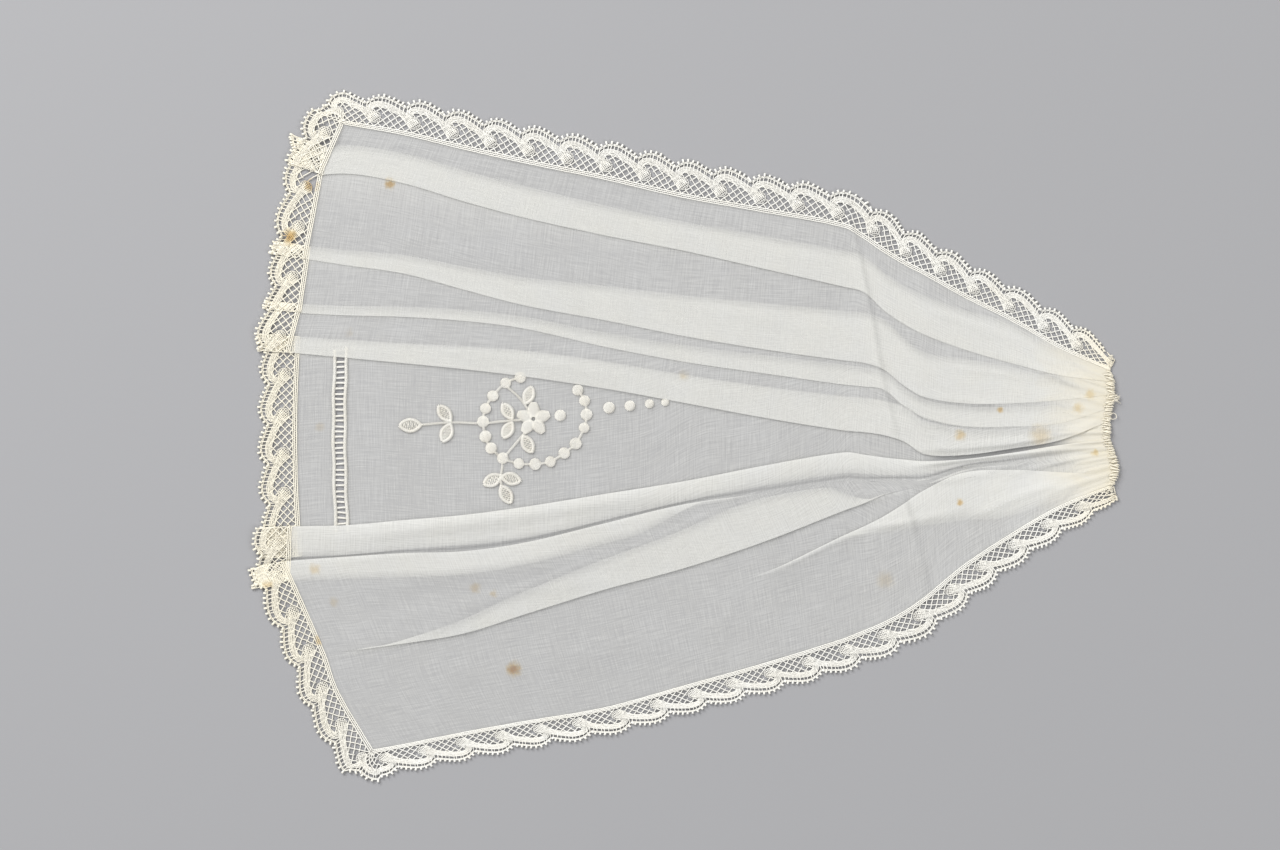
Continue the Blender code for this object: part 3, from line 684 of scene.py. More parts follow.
def section(share):
    """Rows (x, y, z, lace angle, fold, gap) across the panel at a station, from its upper edge to
    its lower edge. fold is 1 on a pleat's turns, and gap counts the stretches between pleats."""
    parts = [place_pleat(pleat, share) for pleat in PLEATS]
    parts = [place_edge(UPPER_EDGE, share), *parts, place_edge(LOWER_EDGE, share)]
    rows = [(*parts[0]["points"][0], parts[0]["lace_angle"], 0.0, 0.0)]
    curved = parts[CURVED_FROM:]
    anchors = [curved[0]["points"][-1]] + [part["points"][0] for part in curved[1:]]
    anchor_places = [-point[1] for point in anchors]
    anchor_x = [point[0] for point in anchors]
    for gap, (before, after) in enumerate(zip(parts, parts[1:])):
        points = gap_points(before, after)
        if gap == MIDDLE_GAP:
            first_y, last_y = before["points"][-1][1], after["points"][0][1]
            bow = HEM_BOW * (1 - share) ** HEM_BOW_FADE
            for k, (x, y, z) in enumerate(points):
                u = (first_y - y) / (first_y - last_y)
                points[k] = (x - bow * 4 * u * (1 - u), y, z)
        angle = before["lace_angle"]
        turned = after["lace_angle"] - angle
        made = [
            (*point, angle + turned * (k + 1) / len(points), 0.0, float(gap))
            for k, point in enumerate(points)
        ]
        for point, mark in zip(after["points"][1:], after["marks"][1:]):
            made.append((*point, after["lace_angle"], after["closed"], mark))
        if gap >= CURVED_FROM:
            made = [(smooth_lookup(anchor_places, anchor_x, -row[1]), *row[1:]) for row in made]
        rows += made
    return rows


def split_long_steps(rows):
    """Splits the steps across the panel that are longer than GRID_SPACING at any station."""
    steps = np.linalg.norm(np.diff(rows[:, :, :3], axis=1), axis=2).max(axis=0)
    pieces = []
    for k, longest in enumerate(steps):
        count = max(1, ceil(longest / GRID_SPACING))
        for j in range(count):
            u = j / count
            pieces.append(rows[:, k] * (1 - u) + rows[:, k + 1] * u)
            if j:
                pieces[-1][:, GAP] = rows[:, k + 1, GAP]
    pieces.append(rows[:, -1])
    return np.stack(pieces, axis=1)


# The cloth's relief

def crease_lift(crease, x, y):
    """A ridge's height at places x and y, tapered at both of its ends."""
    start = np.array((crease["from_x"], crease["from_y"]))
    chord = np.array((crease["to_x"], crease["to_y"])) - start
    length = hypot(*chord)
    along = ((x - start[0]) * chord[0] + (y - start[1]) * chord[1]) / length**2
    across = ((y - start[1]) * chord[0] - (x - start[0]) * chord[1]) / length
    held = np.clip(along, 0.0, 1.0)
    offset = across - crease["bow"] * 4 * held * (1 - held)
    taper = within(CREASE_BEGINS, CREASE_ENDS, along)
    return crease["height"] * taper * np.exp(-(offset / crease["half_width"]) ** 2)


def neck_gathers():
    """Fine ridges across the neck: where each lies between the two edges (-1 to 1), its half
    width in the same measure, its height and where it starts."""
    draw = Random(GATHER_SEED).uniform
    gathers = []
    for k in range(GATHER_COUNT):
        even = -GATHER_OUTERMOST + 2 * GATHER_OUTERMOST * k / (GATHER_COUNT - 1)
        gathers.append((
            even + draw(-GATHER_SHIFT, GATHER_SHIFT),
            draw(*GATHER_HALF_WIDTH),
            draw(*GATHER_HEIGHT),
            draw(*GATHER_FROM_X),
        ))
    return gathers


GATHERS = neck_gathers()


def relief(x, y):
    """How far the cloth stands above its flat section at places x and y, in millimetres."""
    x = np.asarray(x, float)
    y = np.asarray(y, float)
    lift = np.zeros_like(x)
    for long, cross, shift in SWELLS:
        for turns, start in ((x / long + y / cross, shift), (x / cross - y / long, 2 * shift)):
            lift += 0.5 * SWELL_HEIGHT * (1 + np.sin(2 * pi * turns + start)) / 2
    for crease in CREASES:
        lift += crease_lift(crease, x, y)
    upper = np.interp(x, LINE["x"], LINE["upper"])
    lower = np.interp(x, LINE["x"], LINE["lower"])
    place = (2 * y - upper - lower) / (upper - lower)
    for middle, half_width, height, from_x in GATHERS:
        grown = smoothstep(from_x, GATHER_FULL_X, x)
        lift += height * grown * np.exp(-((place - middle) / half_width) ** 2)
    return lift


# Meshes

def to_metres(points):
    return (np.asarray(points, float) - ORIGIN) * MM


def add_object(name, data):
    thing = bpy.data.objects.new(name, data)
    bpy.context.scene.collection.objects.link(thing)
    return thing


def add_mesh(name, points, faces, material):
    data = bpy.data.meshes.new(name)
    data.from_pydata(to_metres(points).tolist(), [], faces)
    data.materials.append(material)
    data.shade_smooth()
    data.update()
    return add_object(name, data)


def set_attribute(thing, name, values):
    attribute = thing.data.attributes.new(name, "FLOAT", "POINT")
    attribute.data.foreach_set("value", np.asarray(values, np.float32).ravel())


class Threads:
    """Gathers threads, each a tube round a line of points, into one mesh."""

    def __init__(self):
        self.points = []
        self.faces = []
        self.count = 0

    def add(self, line, radius):
        line = np.asarray(line, float)
        tangent = unit_tangents(line)
        side = np.cross(tangent, (0.0, 0.0, 1.0))
        upright = np.linalg.norm(side, axis=1) < 0.05
        side[upright] = np.cross(tangent[upright], (0.0, 1.0, 0.001))
        side /= np.linalg.norm(side, axis=1, keepdims=True)
        over = np.cross(side, tangent)
        rows = len(line)
        corners = [self.count + k * rows for k in range(THREAD_SIDES)]
        for k, (here, beside) in enumerate(zip(corners, corners[1:] + corners[:1])):
            angle = 2 * pi * (k + 0.5) / THREAD_SIDES
            self.points.append(line + (side * cos(angle) + over * sin(angle)) * radius)
            for j in range(rows - 1):
                self.faces.append((here + j, beside + j, beside + j + 1, here + j + 1))
        self.faces.append(tuple(reversed(corners)))
        self.faces.append(tuple(corner + rows - 1 for corner in corners))
        self.count += THREAD_SIDES * rows

    def make(self, name, material):
        """The joined mesh, lifted with the cloth that the threads lie on."""
        points = np.concatenate(self.points)
        points[:, 2] += relief(points[:, 0], points[:, 1])
        return add_mesh(name, points, self.faces, material)


def lawn_stations():
    """Shares of the way from hem to neck, with one on each side of the drawn-thread ladder, and
    the number of the ladder's first one."""
    span = BESIDE_LADDER["neck_x"] - BESIDE_LADDER["hem_x"]
    first = (LADDER_FROM_X - BESIDE_LADDER["hem_x"]) / span
    last = (LADDER_TO_X - BESIDE_LADDER["hem_x"]) / span
    before = round(first * STATION_COUNT)
    shares = [first * k / before for k in range(before)]
    shares += [first, 0.5 * (first + last)]
    places = np.linspace(last, 1.0, CROWDING_STEPS + 1)
    x = BESIDE_LADDER["hem_x"] + span * places
    crowd = 1 + CROWDING * within(CROWDED_FROM_X, CROWDED_TO_X, x)
    counted = running_total(0.5 * (crowd[1:] + crowd[:-1]))
    wanted = np.linspace(0.0, counted[-1], STATION_COUNT - before - 1)
    return shares + list(np.interp(wanted, counted, places)), before


def lawn_painted_shade(rows, travelled):
    """Painted shade, as cover held back from the cloth: at the layers' hidden inner edges, where it
    dims the band over them as a sloping band dims in the light, and in the slit between the two
    middle pleats, where it stands in for the shade in that fold. travelled is the way across the
    panel to each point."""
    painted_shade = np.zeros(rows.shape[:2])
    edges = np.nonzero(rows[0, :, GAP] == EDGE_MARK)[0]
    turns = np.nonzero(rows[0, :, GAP] == INNER_MARK)[0]
    for edge, turn in zip(edges, turns):
        run = np.abs(rows[:, [turn], 1] - rows[:, [edge], 1])
        away = np.abs(travelled - travelled[:, [turn]])
        strength = rows[:, [turn], FOLD] * smoothstep(*SHADE_RUN, run)
        painted_shade = np.maximum(painted_shade, strength * (1 - smoothstep(0, SHADE_FADE_WIDTH, away)))
    # Painted shade in the slit between the middle pleats: thinner cloth there lets the floor show and
    # reads as shade
    slit_shade = within(SLIT_SHADE_BEGINS, SLIT_SHADE_ENDS, rows[:, :, 0])
    return np.where(rows[:, :, GAP] == MIDDLE_GAP, slit_shade, painted_shade)


def make_lawn(rows, shares, ladder_row, material):
    """The pleated panel as one thin sheet, open where the ladder's threads are drawn."""
    stations, width = rows.shape[:2]
    points = rows[:, :, :3].copy()
    points[:, :, 2] += relief(points[:, :, 0], points[:, :, 1])
    faces = []
    for s in range(stations - 1):
        for k in range(width - 1):
            drawn = s in (ladder_row, ladder_row + 1) and rows[s, k, GAP] == MIDDLE_GAP
            if drawn and LADDER_END_Y < rows[s, k, 1] < LADDER_TOP_Y:
                continue
            here = s * width + k
            faces.append((here, here + 1, here + width + 1, here + width))
    panel = add_mesh("lawn_panel", points.reshape(-1, 3), faces, material)
    steps = np.linalg.norm(np.diff(points, axis=1), axis=2)
    travelled = np.concatenate([np.zeros((stations, 1)), np.cumsum(steps, axis=1)], axis=1)
    lengths = travelled[:, -1:]
    along = CUT_LENGTH * np.array(shares)[:, None] * np.ones((1, width))
    places = np.stack([travelled / lengths * CUT_WIDTH, along], axis=2).reshape(-1, 2) / UV_UNIT
    corners = np.empty(len(panel.data.loops), dtype=np.int32)
    panel.data.loops.foreach_get("vertex_index", corners)
    layer = panel.data.uv_layers.new(name="cloth")
    layer.data.foreach_set("uv", places[corners].astype(np.float32).ravel())
    gathered = np.repeat((lengths[0, 0] / lengths) ** GATHER_DENSITY, width, axis=1)
    set_attribute(panel, "gathered", gathered)
    set_attribute(panel, "fold", rows[:, :, FOLD])
    # The painted shade at the hidden inner edges and in the slit between the middle pleats
    set_attribute(panel, "painted_shade", lawn_painted_shade(rows, travelled))
    return panel


# The lace

def lace_stations(rows):
    """Along the seam round three sides: seam point, outward angle, normal and width at each."""
    up = (0.0, 0.0, 1.0)
    ends = round(LACE_NECK_END * (len(rows) - 1))
    sides = []
    for name, column, outward in (("upper", 0, 90), ("lower", -1, -90)):
        seam = rows[: ends + 1, column, :3]
        slope = np.gradient(seam, axis=0)
        angle = np.degrees(np.arctan2(slope[:, 1], slope[:, 0])) + outward
        width = [look_up(LACE_WIDTH, name, x) for x in seam[:, 0]]
        sides.append(list(zip(seam, angle, [up] * len(seam), width)))
    upper, lower = sides
    hem = rows[0]
    across = np.gradient(hem[:, :3], axis=0)
    normals = np.stack([np.zeros(len(hem)), across[:, 2], -across[:, 1]], axis=1)
    normals /= np.linalg.norm(normals, axis=1, keepdims=True)
    stations = upper[:0:-1]
    corner, angle = upper[0][:2]
    for k in range(CORNER_STEPS):
        turned = angle + (hem[0, LACE_ANGLE] - angle) * k / CORNER_STEPS
        stations.append((corner, turned, up, CORNER_LACE_WIDTH))
    for row, normal in zip(hem, normals):
        stations.append((row[:3], row[LACE_ANGLE], normal, HEM_LACE_WIDTH))
    corner, angle = lower[0][:2]
    last = hem[-1, LACE_ANGLE]
    for k in range(1, CORNER_STEPS + 1):
        turned = last + (angle + 360 - last) * k / CORNER_STEPS
        stations.append((corner, turned, up, CORNER_LACE_WIDTH))
    return stations + [(seam, angle + 360, up, width) for seam, angle, _, width in lower[1:]]


def outward(angle):
    return np.stack([np.cos(angle), np.sin(angle), np.zeros_like(angle)], axis=-1)


class Lace:
    """The lace edging laid out flat: places are (travelled, across) in its own sizes."""

    def __init__(self, rows):
        seam, angle, normal, width = (np.array(column) for column in zip(*lace_stations(rows)))
        angle = np.radians(angle)
        outer = seam + outward(angle) * width[:, None]
        inner_step = np.linalg.norm(np.diff(seam, axis=0), axis=1)
        outer_step = np.linalg.norm(np.diff(outer, axis=0), axis=1)
        steps = np.maximum(np.maximum(inner_step, OUTER_SHARE * outer_step), LEAST_STEP)
        self.travelled = running_total(steps)
        self.columns = (*seam.T, *normal.T, angle, width)
        self.length = self.travelled[-1]
        self.repeats = round(self.length / LACE_PITCH)

    def at(self, travelled, across, lift):
        """Points on the laid lace for places on the flat one, lift above it."""
        travelled = np.clip(travelled, 0.0, self.length)
        found = [np.interp(travelled, self.travelled, column) for column in self.columns]
        reach = (np.asarray(across, float) * found[7] / PATTERN_WIDTH)[:, None]
        return np.stack(found[:3], 1) + outward(found[6]) * reach + np.stack(found[3:6], 1) * lift

    def pattern(self, repeat, points, lift=0.0):
        """Points on the laid lace for pattern places (along, across) of one scallop."""
        points = np.asarray(points, float)
        pitch = self.length / self.repeats
        travelled = (repeat + 1 - points[:, 0] / LACE_PITCH) * pitch
        return self.at(travelled, points[:, 1], lift)


TRAIL_LINE = spline(TRAIL, TRAIL_STEPS)
SCALLOP_LINE = spline(SCALLOP, SCALLOP_STEPS)
# The stretch of the trail that closes the net off, from over the arch down to the hook
ARCH_LINE = TRAIL_LINE[TRAIL_STEPS : 8 * TRAIL_STEPS + 1]


def under_arch(along, across):
    """True where the net shows: below the trail of this scallop or of the one beside it."""
    if across < NET_OPEN_BELOW:
        return True
    first, last = ARCH_SPAN_LOW if across < ARCH_HIGH_FROM else ARCH_SPAN_HIGH
    for place in (along, along - LACE_PITCH, along + LACE_PITCH):
        if first < place < last and across < np.interp(place, ARCH_LINE[:, 0], ARCH_LINE[:, 1]):
            return True
    return False


def net_lines():
    """The diamond net's threads over one scallop, cut off where the trail covers them."""
    lines = []
    highest = max(across for _, across in TRAIL)
    for lean in (1, -1):
        for k in range(NET_PER_REPEAT):
            start = k * LACE_PITCH / NET_PER_REPEAT
            run = []
            for j in range(int((highest - NET_FROM) / NET_STEP) + 1):
                across = NET_FROM + NET_STEP * j
                along = start + lean * (across - NET_FROM)
                if under_arch(along, across):
                    run.append((along, across))
                    continue
                lines.append(run)
                run = []
            lines.append(run)
    return [np.array(line) for line in lines if len(line) > 1]


def offset_line(line, offset):
    """A flat line moved sideways by offset."""
    tangent = unit_tangents(line)
    return line + np.stack([-tangent[:, 1], tangent[:, 0]], axis=1) * offset


def even_places(line, spacing):
    """Places evenly spaced along a line, with the line's unit normal at each, seen from above."""
    travelled = running_total(np.linalg.norm(np.diff(line, axis=0), axis=1))
    wanted = np.linspace(0.0, travelled[-1], max(2, round(travelled[-1] / spacing) + 1))
    spots = [np.interp(wanted, travelled, column) for column in line.T]
    slopes = [np.interp(wanted, travelled, column) for column in unit_tangents(line).T[:2]]
    return np.stack(spots, 1), np.stack([-slopes[1], slopes[0]], 1)


def patch_lines():
    """A round patch of close diagonal threads, with a thread round it."""
    turns = np.linspace(0.0, 2 * pi, PATCH_OUTLINE_POINTS)
    lines = [np.stack([np.cos(turns), np.sin(turns)], 1) * PATCH_RADIUS + PATCH_PLACE]
    for lean in (1, -1):
        for k in range(-PATCH_SIDE_THREADS, PATCH_SIDE_THREADS + 1):
            aside = k * PATCH_PITCH
            half = sqrt(max(0.0, PATCH_RADIUS**2 - aside**2))
            lines.append([(
                PATCH_PLACE[0] + (reach - lean * aside) * sqrt(0.5),
                PATCH_PLACE[1] + (lean * reach + aside) * sqrt(0.5),
            ) for reach in (-half, half)])
    return lines


def make_lace(lace, material):
    """The edging as threads: footing, net, trail and scalloped heading, each a piece."""
    draw = Random(LACE_SEED).uniform
    footing, net, trail, heading = Threads(), Threads(), Threads(), Threads()
    along = np.arange(0.0, lace.length, FOOTING_STEP)
    for across in FOOTING_LINES:
        shaken = across + shake(draw, FOOTING_SHAKE, len(along))
        footing.add(lace.at(along, shaken, FOOTING_LIFT), CORD_RADIUS)
    turns = np.arange(0.0, lace.length, FOOTING_ZIGZAG_STEP)
    zigzag = np.where(np.arange(len(turns)) % 2, *FOOTING_ZIGZAG)
    footing.add(lace.at(turns, zigzag, ZIGZAG_LIFT), FINE_RADIUS)
    lines = net_lines()
    patch = patch_lines()
    weft, weft_normals = even_places(TRAIL_LINE, WEFT_PITCH)
    weft += weft_normals * np.where(np.arange(len(weft)) % 2, WEFT_REACH, -WEFT_REACH)[:, None]
    picots, picot_normals = even_places(SCALLOP_LINE, PICOT_PITCH)
    trail_shares = np.linspace(0, 1, len(TRAIL_LINE))[:, None]
    spreading = 1 + TRAIL_SPREAD * smoothstep(TRAIL_SPREADS_FROM, 1.0, trail_shares)
    for repeat in range(lace.repeats):
        for line in lines:
            laid = lace.pattern(repeat, line + shake(draw, NET_SHAKE, len(line), 2))
            if np.hypot(*(laid[:, :2] - TORN_PLACE).T).min() > TORN_RADIUS:
                net.add(laid, NET_RADIUS)
        for offset in TRAIL_THREADS:
            shaken = offset * spreading + shake(draw, TRAIL_SHAKE, len(TRAIL_LINE), 1)
            line = offset_line(TRAIL_LINE, shaken)
            trail.add(lace.pattern(repeat, line, TRAIL_LIFT), THREAD_RADIUS)
        trail.add(lace.pattern(repeat, weft, WEFT_LIFT), WEFT_RADIUS)
        for line in patch:
            trail.add(lace.pattern(repeat, line), FINE_RADIUS)
        for offset in HEADING_THREADS:
            line = offset_line(SCALLOP_LINE, offset)
            heading.add(lace.pattern(repeat, line, TRAIL_LIFT), THREAD_RADIUS)
        for k in range(BARS_PER_REPEAT):
            place = BARS_FROM + LACE_PITCH * k / BARS_PER_REPEAT + draw(-BAR_SHIFT, BAR_SHIFT)
            outer = np.interp(place, SCALLOP_LINE[:, 0], SCALLOP_LINE[:, 1])
            inner = np.interp(place, ARCH_LINE[:, 0], ARCH_LINE[:, 1], left=BARS_IN_FIRST)
            if place > BARS_LAST_FROM:
                inner = BARS_IN_LAST
            leaning = place + draw(-BAR_LEAN, BAR_LEAN)
            bar = lace.pattern(repeat, [(place, inner), (leaning, outer)])
            heading.add(bar, draw(*BAR_RADIUS))
        for (a, w), normal in list(zip(picots, picot_normals))[:-1]:
            length = PICOT_LENGTH * draw(*PICOT_SHARES)
            lean = draw(-PICOT_LEAN, PICOT_LEAN)
            tip = (a + normal[0] * length + lean, w + normal[1] * length)
            middle = (a + normal[0] * PICOT_MIDDLE, w + normal[1] * PICOT_MIDDLE)
            heading.add(lace.pattern(repeat, [(a, w), middle, tip], PICOT_LIFT), PICOT_RADIUS)
    kinds = {"lace_footing": footing, "lace_net": net, "lace_trail": trail, "lace_heading": heading}
    return [threads.make(name, material) for name, threads in kinds.items()]


# Stitches

def at_level(points, level=STITCH_LEVEL):
    """Flat points set at one height."""
    return np.array([(x, y, level) for x, y in points])


def facing(angle):
    """The way ahead at an angle, and the way aside to its left."""
    ahead = np.array((cos(angle), sin(angle)))
    return ahead, np.array((-ahead[1], ahead[0]))


def on_circle(centre, radius, angle):
    return centre[0] + radius * cos(angle), centre[1] + radius * sin(angle)


def stitch(threads, middle, reach, places, radius, rise=0.0, level=STITCH_LEVEL):
    """One stitch from middle - reach to middle + reach, arched up by rise. places run from -1 to 1
    along it."""
    threads.add([(*(middle + reach * v), level + rise * (1 - v * v)) for v in places], radius)


def overcast(threads, line, width, radius, pitch=OVERCAST_PITCH):
    """Short slanting stitches laid side by side along a line on the cloth."""
    for spot, normal in zip(*even_places(line, pitch)):
        ahead = np.array((normal[1], -normal[0]))
        reach = normal * 0.5 * width + ahead * OVERCAST_SLANT * width
        stitch(threads, spot[:2], reach, OVERCAST_PLACES, radius, OVERCAST_RISE * width, spot[2])


def satin(threads, middle, angle, length, half_width):
    """Parallel stitches across a domed patch. half_width gives its outline along its length."""
    ahead, aside = facing(angle)
    count = max(3, round(length / SATIN_PITCH))
    for k in range(count):
        u = (k + 0.5) / count
        rise = SATIN_DOME * sqrt(max(0.0, 1 - (2 * u - 1) ** 2))
        place = np.array(middle) + ahead * (u - 0.5) * length
        stitch(threads, place, aside * half_width(u), SATIN_PLACES, THREAD_RADIUS, rise)


def satin_dot(threads, middle, radius, angle):
    def half_width(u):
        return radius * sqrt(max(0.02, 1 - (2 * u - 1) ** 2))

    satin(threads, middle, angle, 2 * radius, half_width)


def leaf(threads, x, y, angle, length, half):
    """A leaf with an overcast outline, fine threads across it and seed stitches. (x, y) is its
    stalk end."""
    ahead, aside = facing(radians(angle))

    def spine(u):
        return np.array((x, y)) + ahead * length * u

    def reach(u):
        return aside * (half * sin(pi * u) ** LEAF_FULLNESS)

    shares = [k / LEAF_EDGE_STEPS for k in range(LEAF_EDGE_STEPS + 1)]
    outline = [spine(u) + reach(u) for u in shares] + [spine(1 - u) - reach(1 - u) for u in shares]
    overcast(threads, at_level(outline), LEAF_EDGE_WIDTH, THREAD_RADIUS)
    for k in range(1, LEAF_FILL):
        u = k / LEAF_FILL
        stitch(threads, spine(u), reach(u), (-1, 1), LEAF_FILL_RADIUS)
    for u in SEEDS_ALONG:
        for side in SEEDS_ACROSS:
            spot = spine(u + SEED_SLANT * side) + aside * side * half * sin(pi * u)
            stitch(threads, spot, aside * SEED_HALF, (-1, 0, 1), SEED_RADIUS, SEED_RISE)


def stem(threads, points, level=STITCH_LEVEL):
    overcast(threads, at_level(spline(points, STEM_STEPS), level), STEM_WIDTH, FINE_RADIUS)


def make_ring(material):
    """The oval of dots, as far as the pleat above leaves it in sight, and the thread along it."""
    draw = Random(RING_SEED).uniform
    ring = Threads()
    places = []
    for k in range(RING_DOTS):
        shifted = k + draw(-RING_TURN_SHARE, RING_TURN_SHARE)
        angle = 0.5 * pi + 2 * pi * shifted / RING_DOTS
        wide = (RING_RADII[0] + draw(-RING_SHAKE, RING_SHAKE)) * cos(angle)
        high = (RING_RADII[1] + draw(-RING_SHAKE, RING_SHAKE)) * sin(angle)
        x = RING_CENTRE[0] + wide * cos(RING_LEAN) - high * sin(RING_LEAN)
        y = RING_CENTRE[1] + wide * sin(RING_LEAN) + high * cos(RING_LEAN)
        radius = DOT_RADIUS * draw(*RING_DOT_SHARES)
        if y < look_up(LINE, "d", x) - RING_CLEARANCE:
            satin_dot(ring, (x, y), radius, angle + RING_STITCH_TURN)
            places.append((x, y))
    stem(ring, places, STITCH_LEVEL - RING_STEM_DROP)
    return ring.make("ring", material)


def petal_half(u):
    """A petal's half width, narrow at the heart and round at its tip."""
    return PETAL_HALF * (0.35 + 0.65 * sin(pi * min(1.0, 0.15 + 0.8 * u)))


def make_flower(material):
    flower = Threads()
    for k in range(FLOWER_PETALS):
        angle = 2 * pi * k / FLOWER_PETALS + FLOWER_TURN
        middle = on_circle(FLOWER_CENTRE, HEART_RADIUS + 0.5 * PETAL_LENGTH - PETAL_TUCK, angle)
        satin(flower, middle, angle, PETAL_LENGTH, petal_half)
    turns = [2 * pi * k / HEART_STEPS for k in range(HEART_STEPS + 1)]
    heart = [on_circle(FLOWER_CENTRE, HEART_RADIUS, turn) for turn in turns]
    overcast(flower, at_level(heart, STITCH_LEVEL + HEART_LIFT), HEART_WIDTH, HEART_THREAD_RADIUS)
    return flower.make("flower", material)


def make_whitework(material):
    """The raised embroidery on the middle of the panel, and the solid that each piece stands for."""
    made = [(make_ring(material), "satin_ring"), (make_flower(material), "satin_flower")]
    for name, node, stems in SPRIGS:
        sprig = Threads()
        for points, leaves in stems:
            stem(sprig, points)
            for values in leaves:
                leaf(sprig, *values)
        made.append((sprig.make(name, material), node))
    for name, x, y, radius, node in DOTS:
        dot = Threads()
        satin_dot(dot, (x, y), radius, DOT_STITCH_ANGLE)
        made.append((dot.make(name, material), node))
    return made


def make_ladder(rows, ladder_row, material):
    """The drawn-thread ladder: an overcast edge on each side and the bundled threads between."""
    made = []
    edges = []
    top_y, end_y = LADDER_TOP_Y + LADDER_CORD_PAST, LADDER_END_Y - LADDER_CORD_PAST
    for name, node, row, shift in (
        ("ladder_edge_outer", "hemstitch_outer", rows[ladder_row], -LADDER_CORD_SHIFT),
        ("ladder_edge_inner", "hemstitch_inner", rows[ladder_row + 2], LADDER_CORD_SHIFT),
    ):
        inside = (row[:, GAP] == MIDDLE_GAP) & (row[:, 1] < top_y) & (row[:, 1] > end_y)
        line = row[inside, :3] + (shift, 0.0, LADDER_CORD_LIFT)
        line[:, 0] += LADDER_WAVE * np.sin(LADDER_WAVE_TURN * line[:, 1] + 2 * shift)
        threads = Threads()
        overcast(threads, line, LADDER_CORD_WIDTH, LADDER_CORD_RADIUS, LADDER_CORD_PITCH)
        made.append((threads.make(name, material), node))
        edges.append(line)
    bars = Threads()
    draw = Random(LADDER_SEED).uniform
    for k in range(int((LADDER_TOP_Y - LADDER_END_Y) / LADDER_PITCH) + 1):
        y = LADDER_TOP_Y - LADDER_PITCH * k + draw(-LADDER_SHAKE, LADDER_SHAKE)
        slant = draw(-LADDER_SHAKE, LADDER_SHAKE)
        first, last = (np.interp(-y, -line[:, 1], line[:, 0]) for line in edges)
        for shift in BAR_THREADS:
            bar = []
            for u in BAR_PLACES:
                waist = 1 - BAR_WAIST * sin(pi * u)
                place = y + slant * (2 * u - 1) + shift * (BAR_SPREAD + waist)
                bar.append((first + (last - first) * u, place, LAWN_LEVEL + BAR_LIFT))
            bars.add(bar, FINE_RADIUS)
    return made + [(bars.make("ladder_bars", material), None)]


def make_neck_stitches(rows, lace, material):
    """Whip stitches over the gathered neck edge, the threads that hold the lace's ends, and the
    tuft and the loop that stand out of it."""
    draw = Random(NECK_SEED).uniform
    stitches = Threads()
    edge = rows[-1, np.argsort(rows[-1, :, 1])]
    for k in range(NECK_STITCHES):
        y = NECK_FROM_Y + NECK_SPAN * k / (NECK_STITCHES - 1) + draw(-NECK_SHAKE, NECK_SHAKE)
        x = np.interp(y, edge[:, 1], edge[:, 0])
        reach = draw(*NECK_REACH)
        slant = draw(*NECK_SLANT)
        lift = float(relief(x - 1.0, y)) - float(relief(x, y))
        inner, middle, top, outer = (LAWN_LEVEL + height for height in NECK_HEIGHTS)
        stitches.add([
            (x - reach, y + slant, inner + lift),
            (x - 0.5 * reach, y + 0.5 * slant, middle + lift),
            (x, y, top),
            (x + draw(*NECK_WRAP), y - 0.1, outer),
        ], draw(*NECK_RADIUS))
    root, bend, tip = (LAWN_LEVEL + height for height in TUFT_HEIGHTS)
    for _ in range(TUFT_THREADS):
        y = TUFT_PLACE[1] + draw(-TUFT_SPREAD, TUFT_SPREAD)
        length = draw(*TUFT_LENGTH)
        stitches.add([
            (TUFT_PLACE[0], y, root),
            (TUFT_OUT_X + 0.5 * length, y + draw(-TUFT_BEND, TUFT_BEND), bend),
            (TUFT_OUT_X + length, y + draw(-TUFT_SPREAD, TUFT_SPREAD), tip),
        ], TUFT_RADIUS)
    for end, inward in ((0.0, 1), (lace.length, -1)):
        for _ in range(LACE_END_THREADS):
            across = draw(*LACE_END_ACROSS)
            reach = draw(*LACE_END_REACH) * inward
            begin = end + inward * draw(*LACE_END_FROM)
            along = (begin, begin + 0.5 * reach, begin + reach)
            aside = (across, across + draw(*LACE_END_BEND), across + draw(*LACE_END_TIP))
            stitches.add(lace.at(along, aside, LACE_END_LIFT), LACE_END_RADIUS)
    stitches.add(spline(LOOP, LOOP_STEPS), FINE_RADIUS)
    return stitches.make("neck_stitches", material)


# Materials

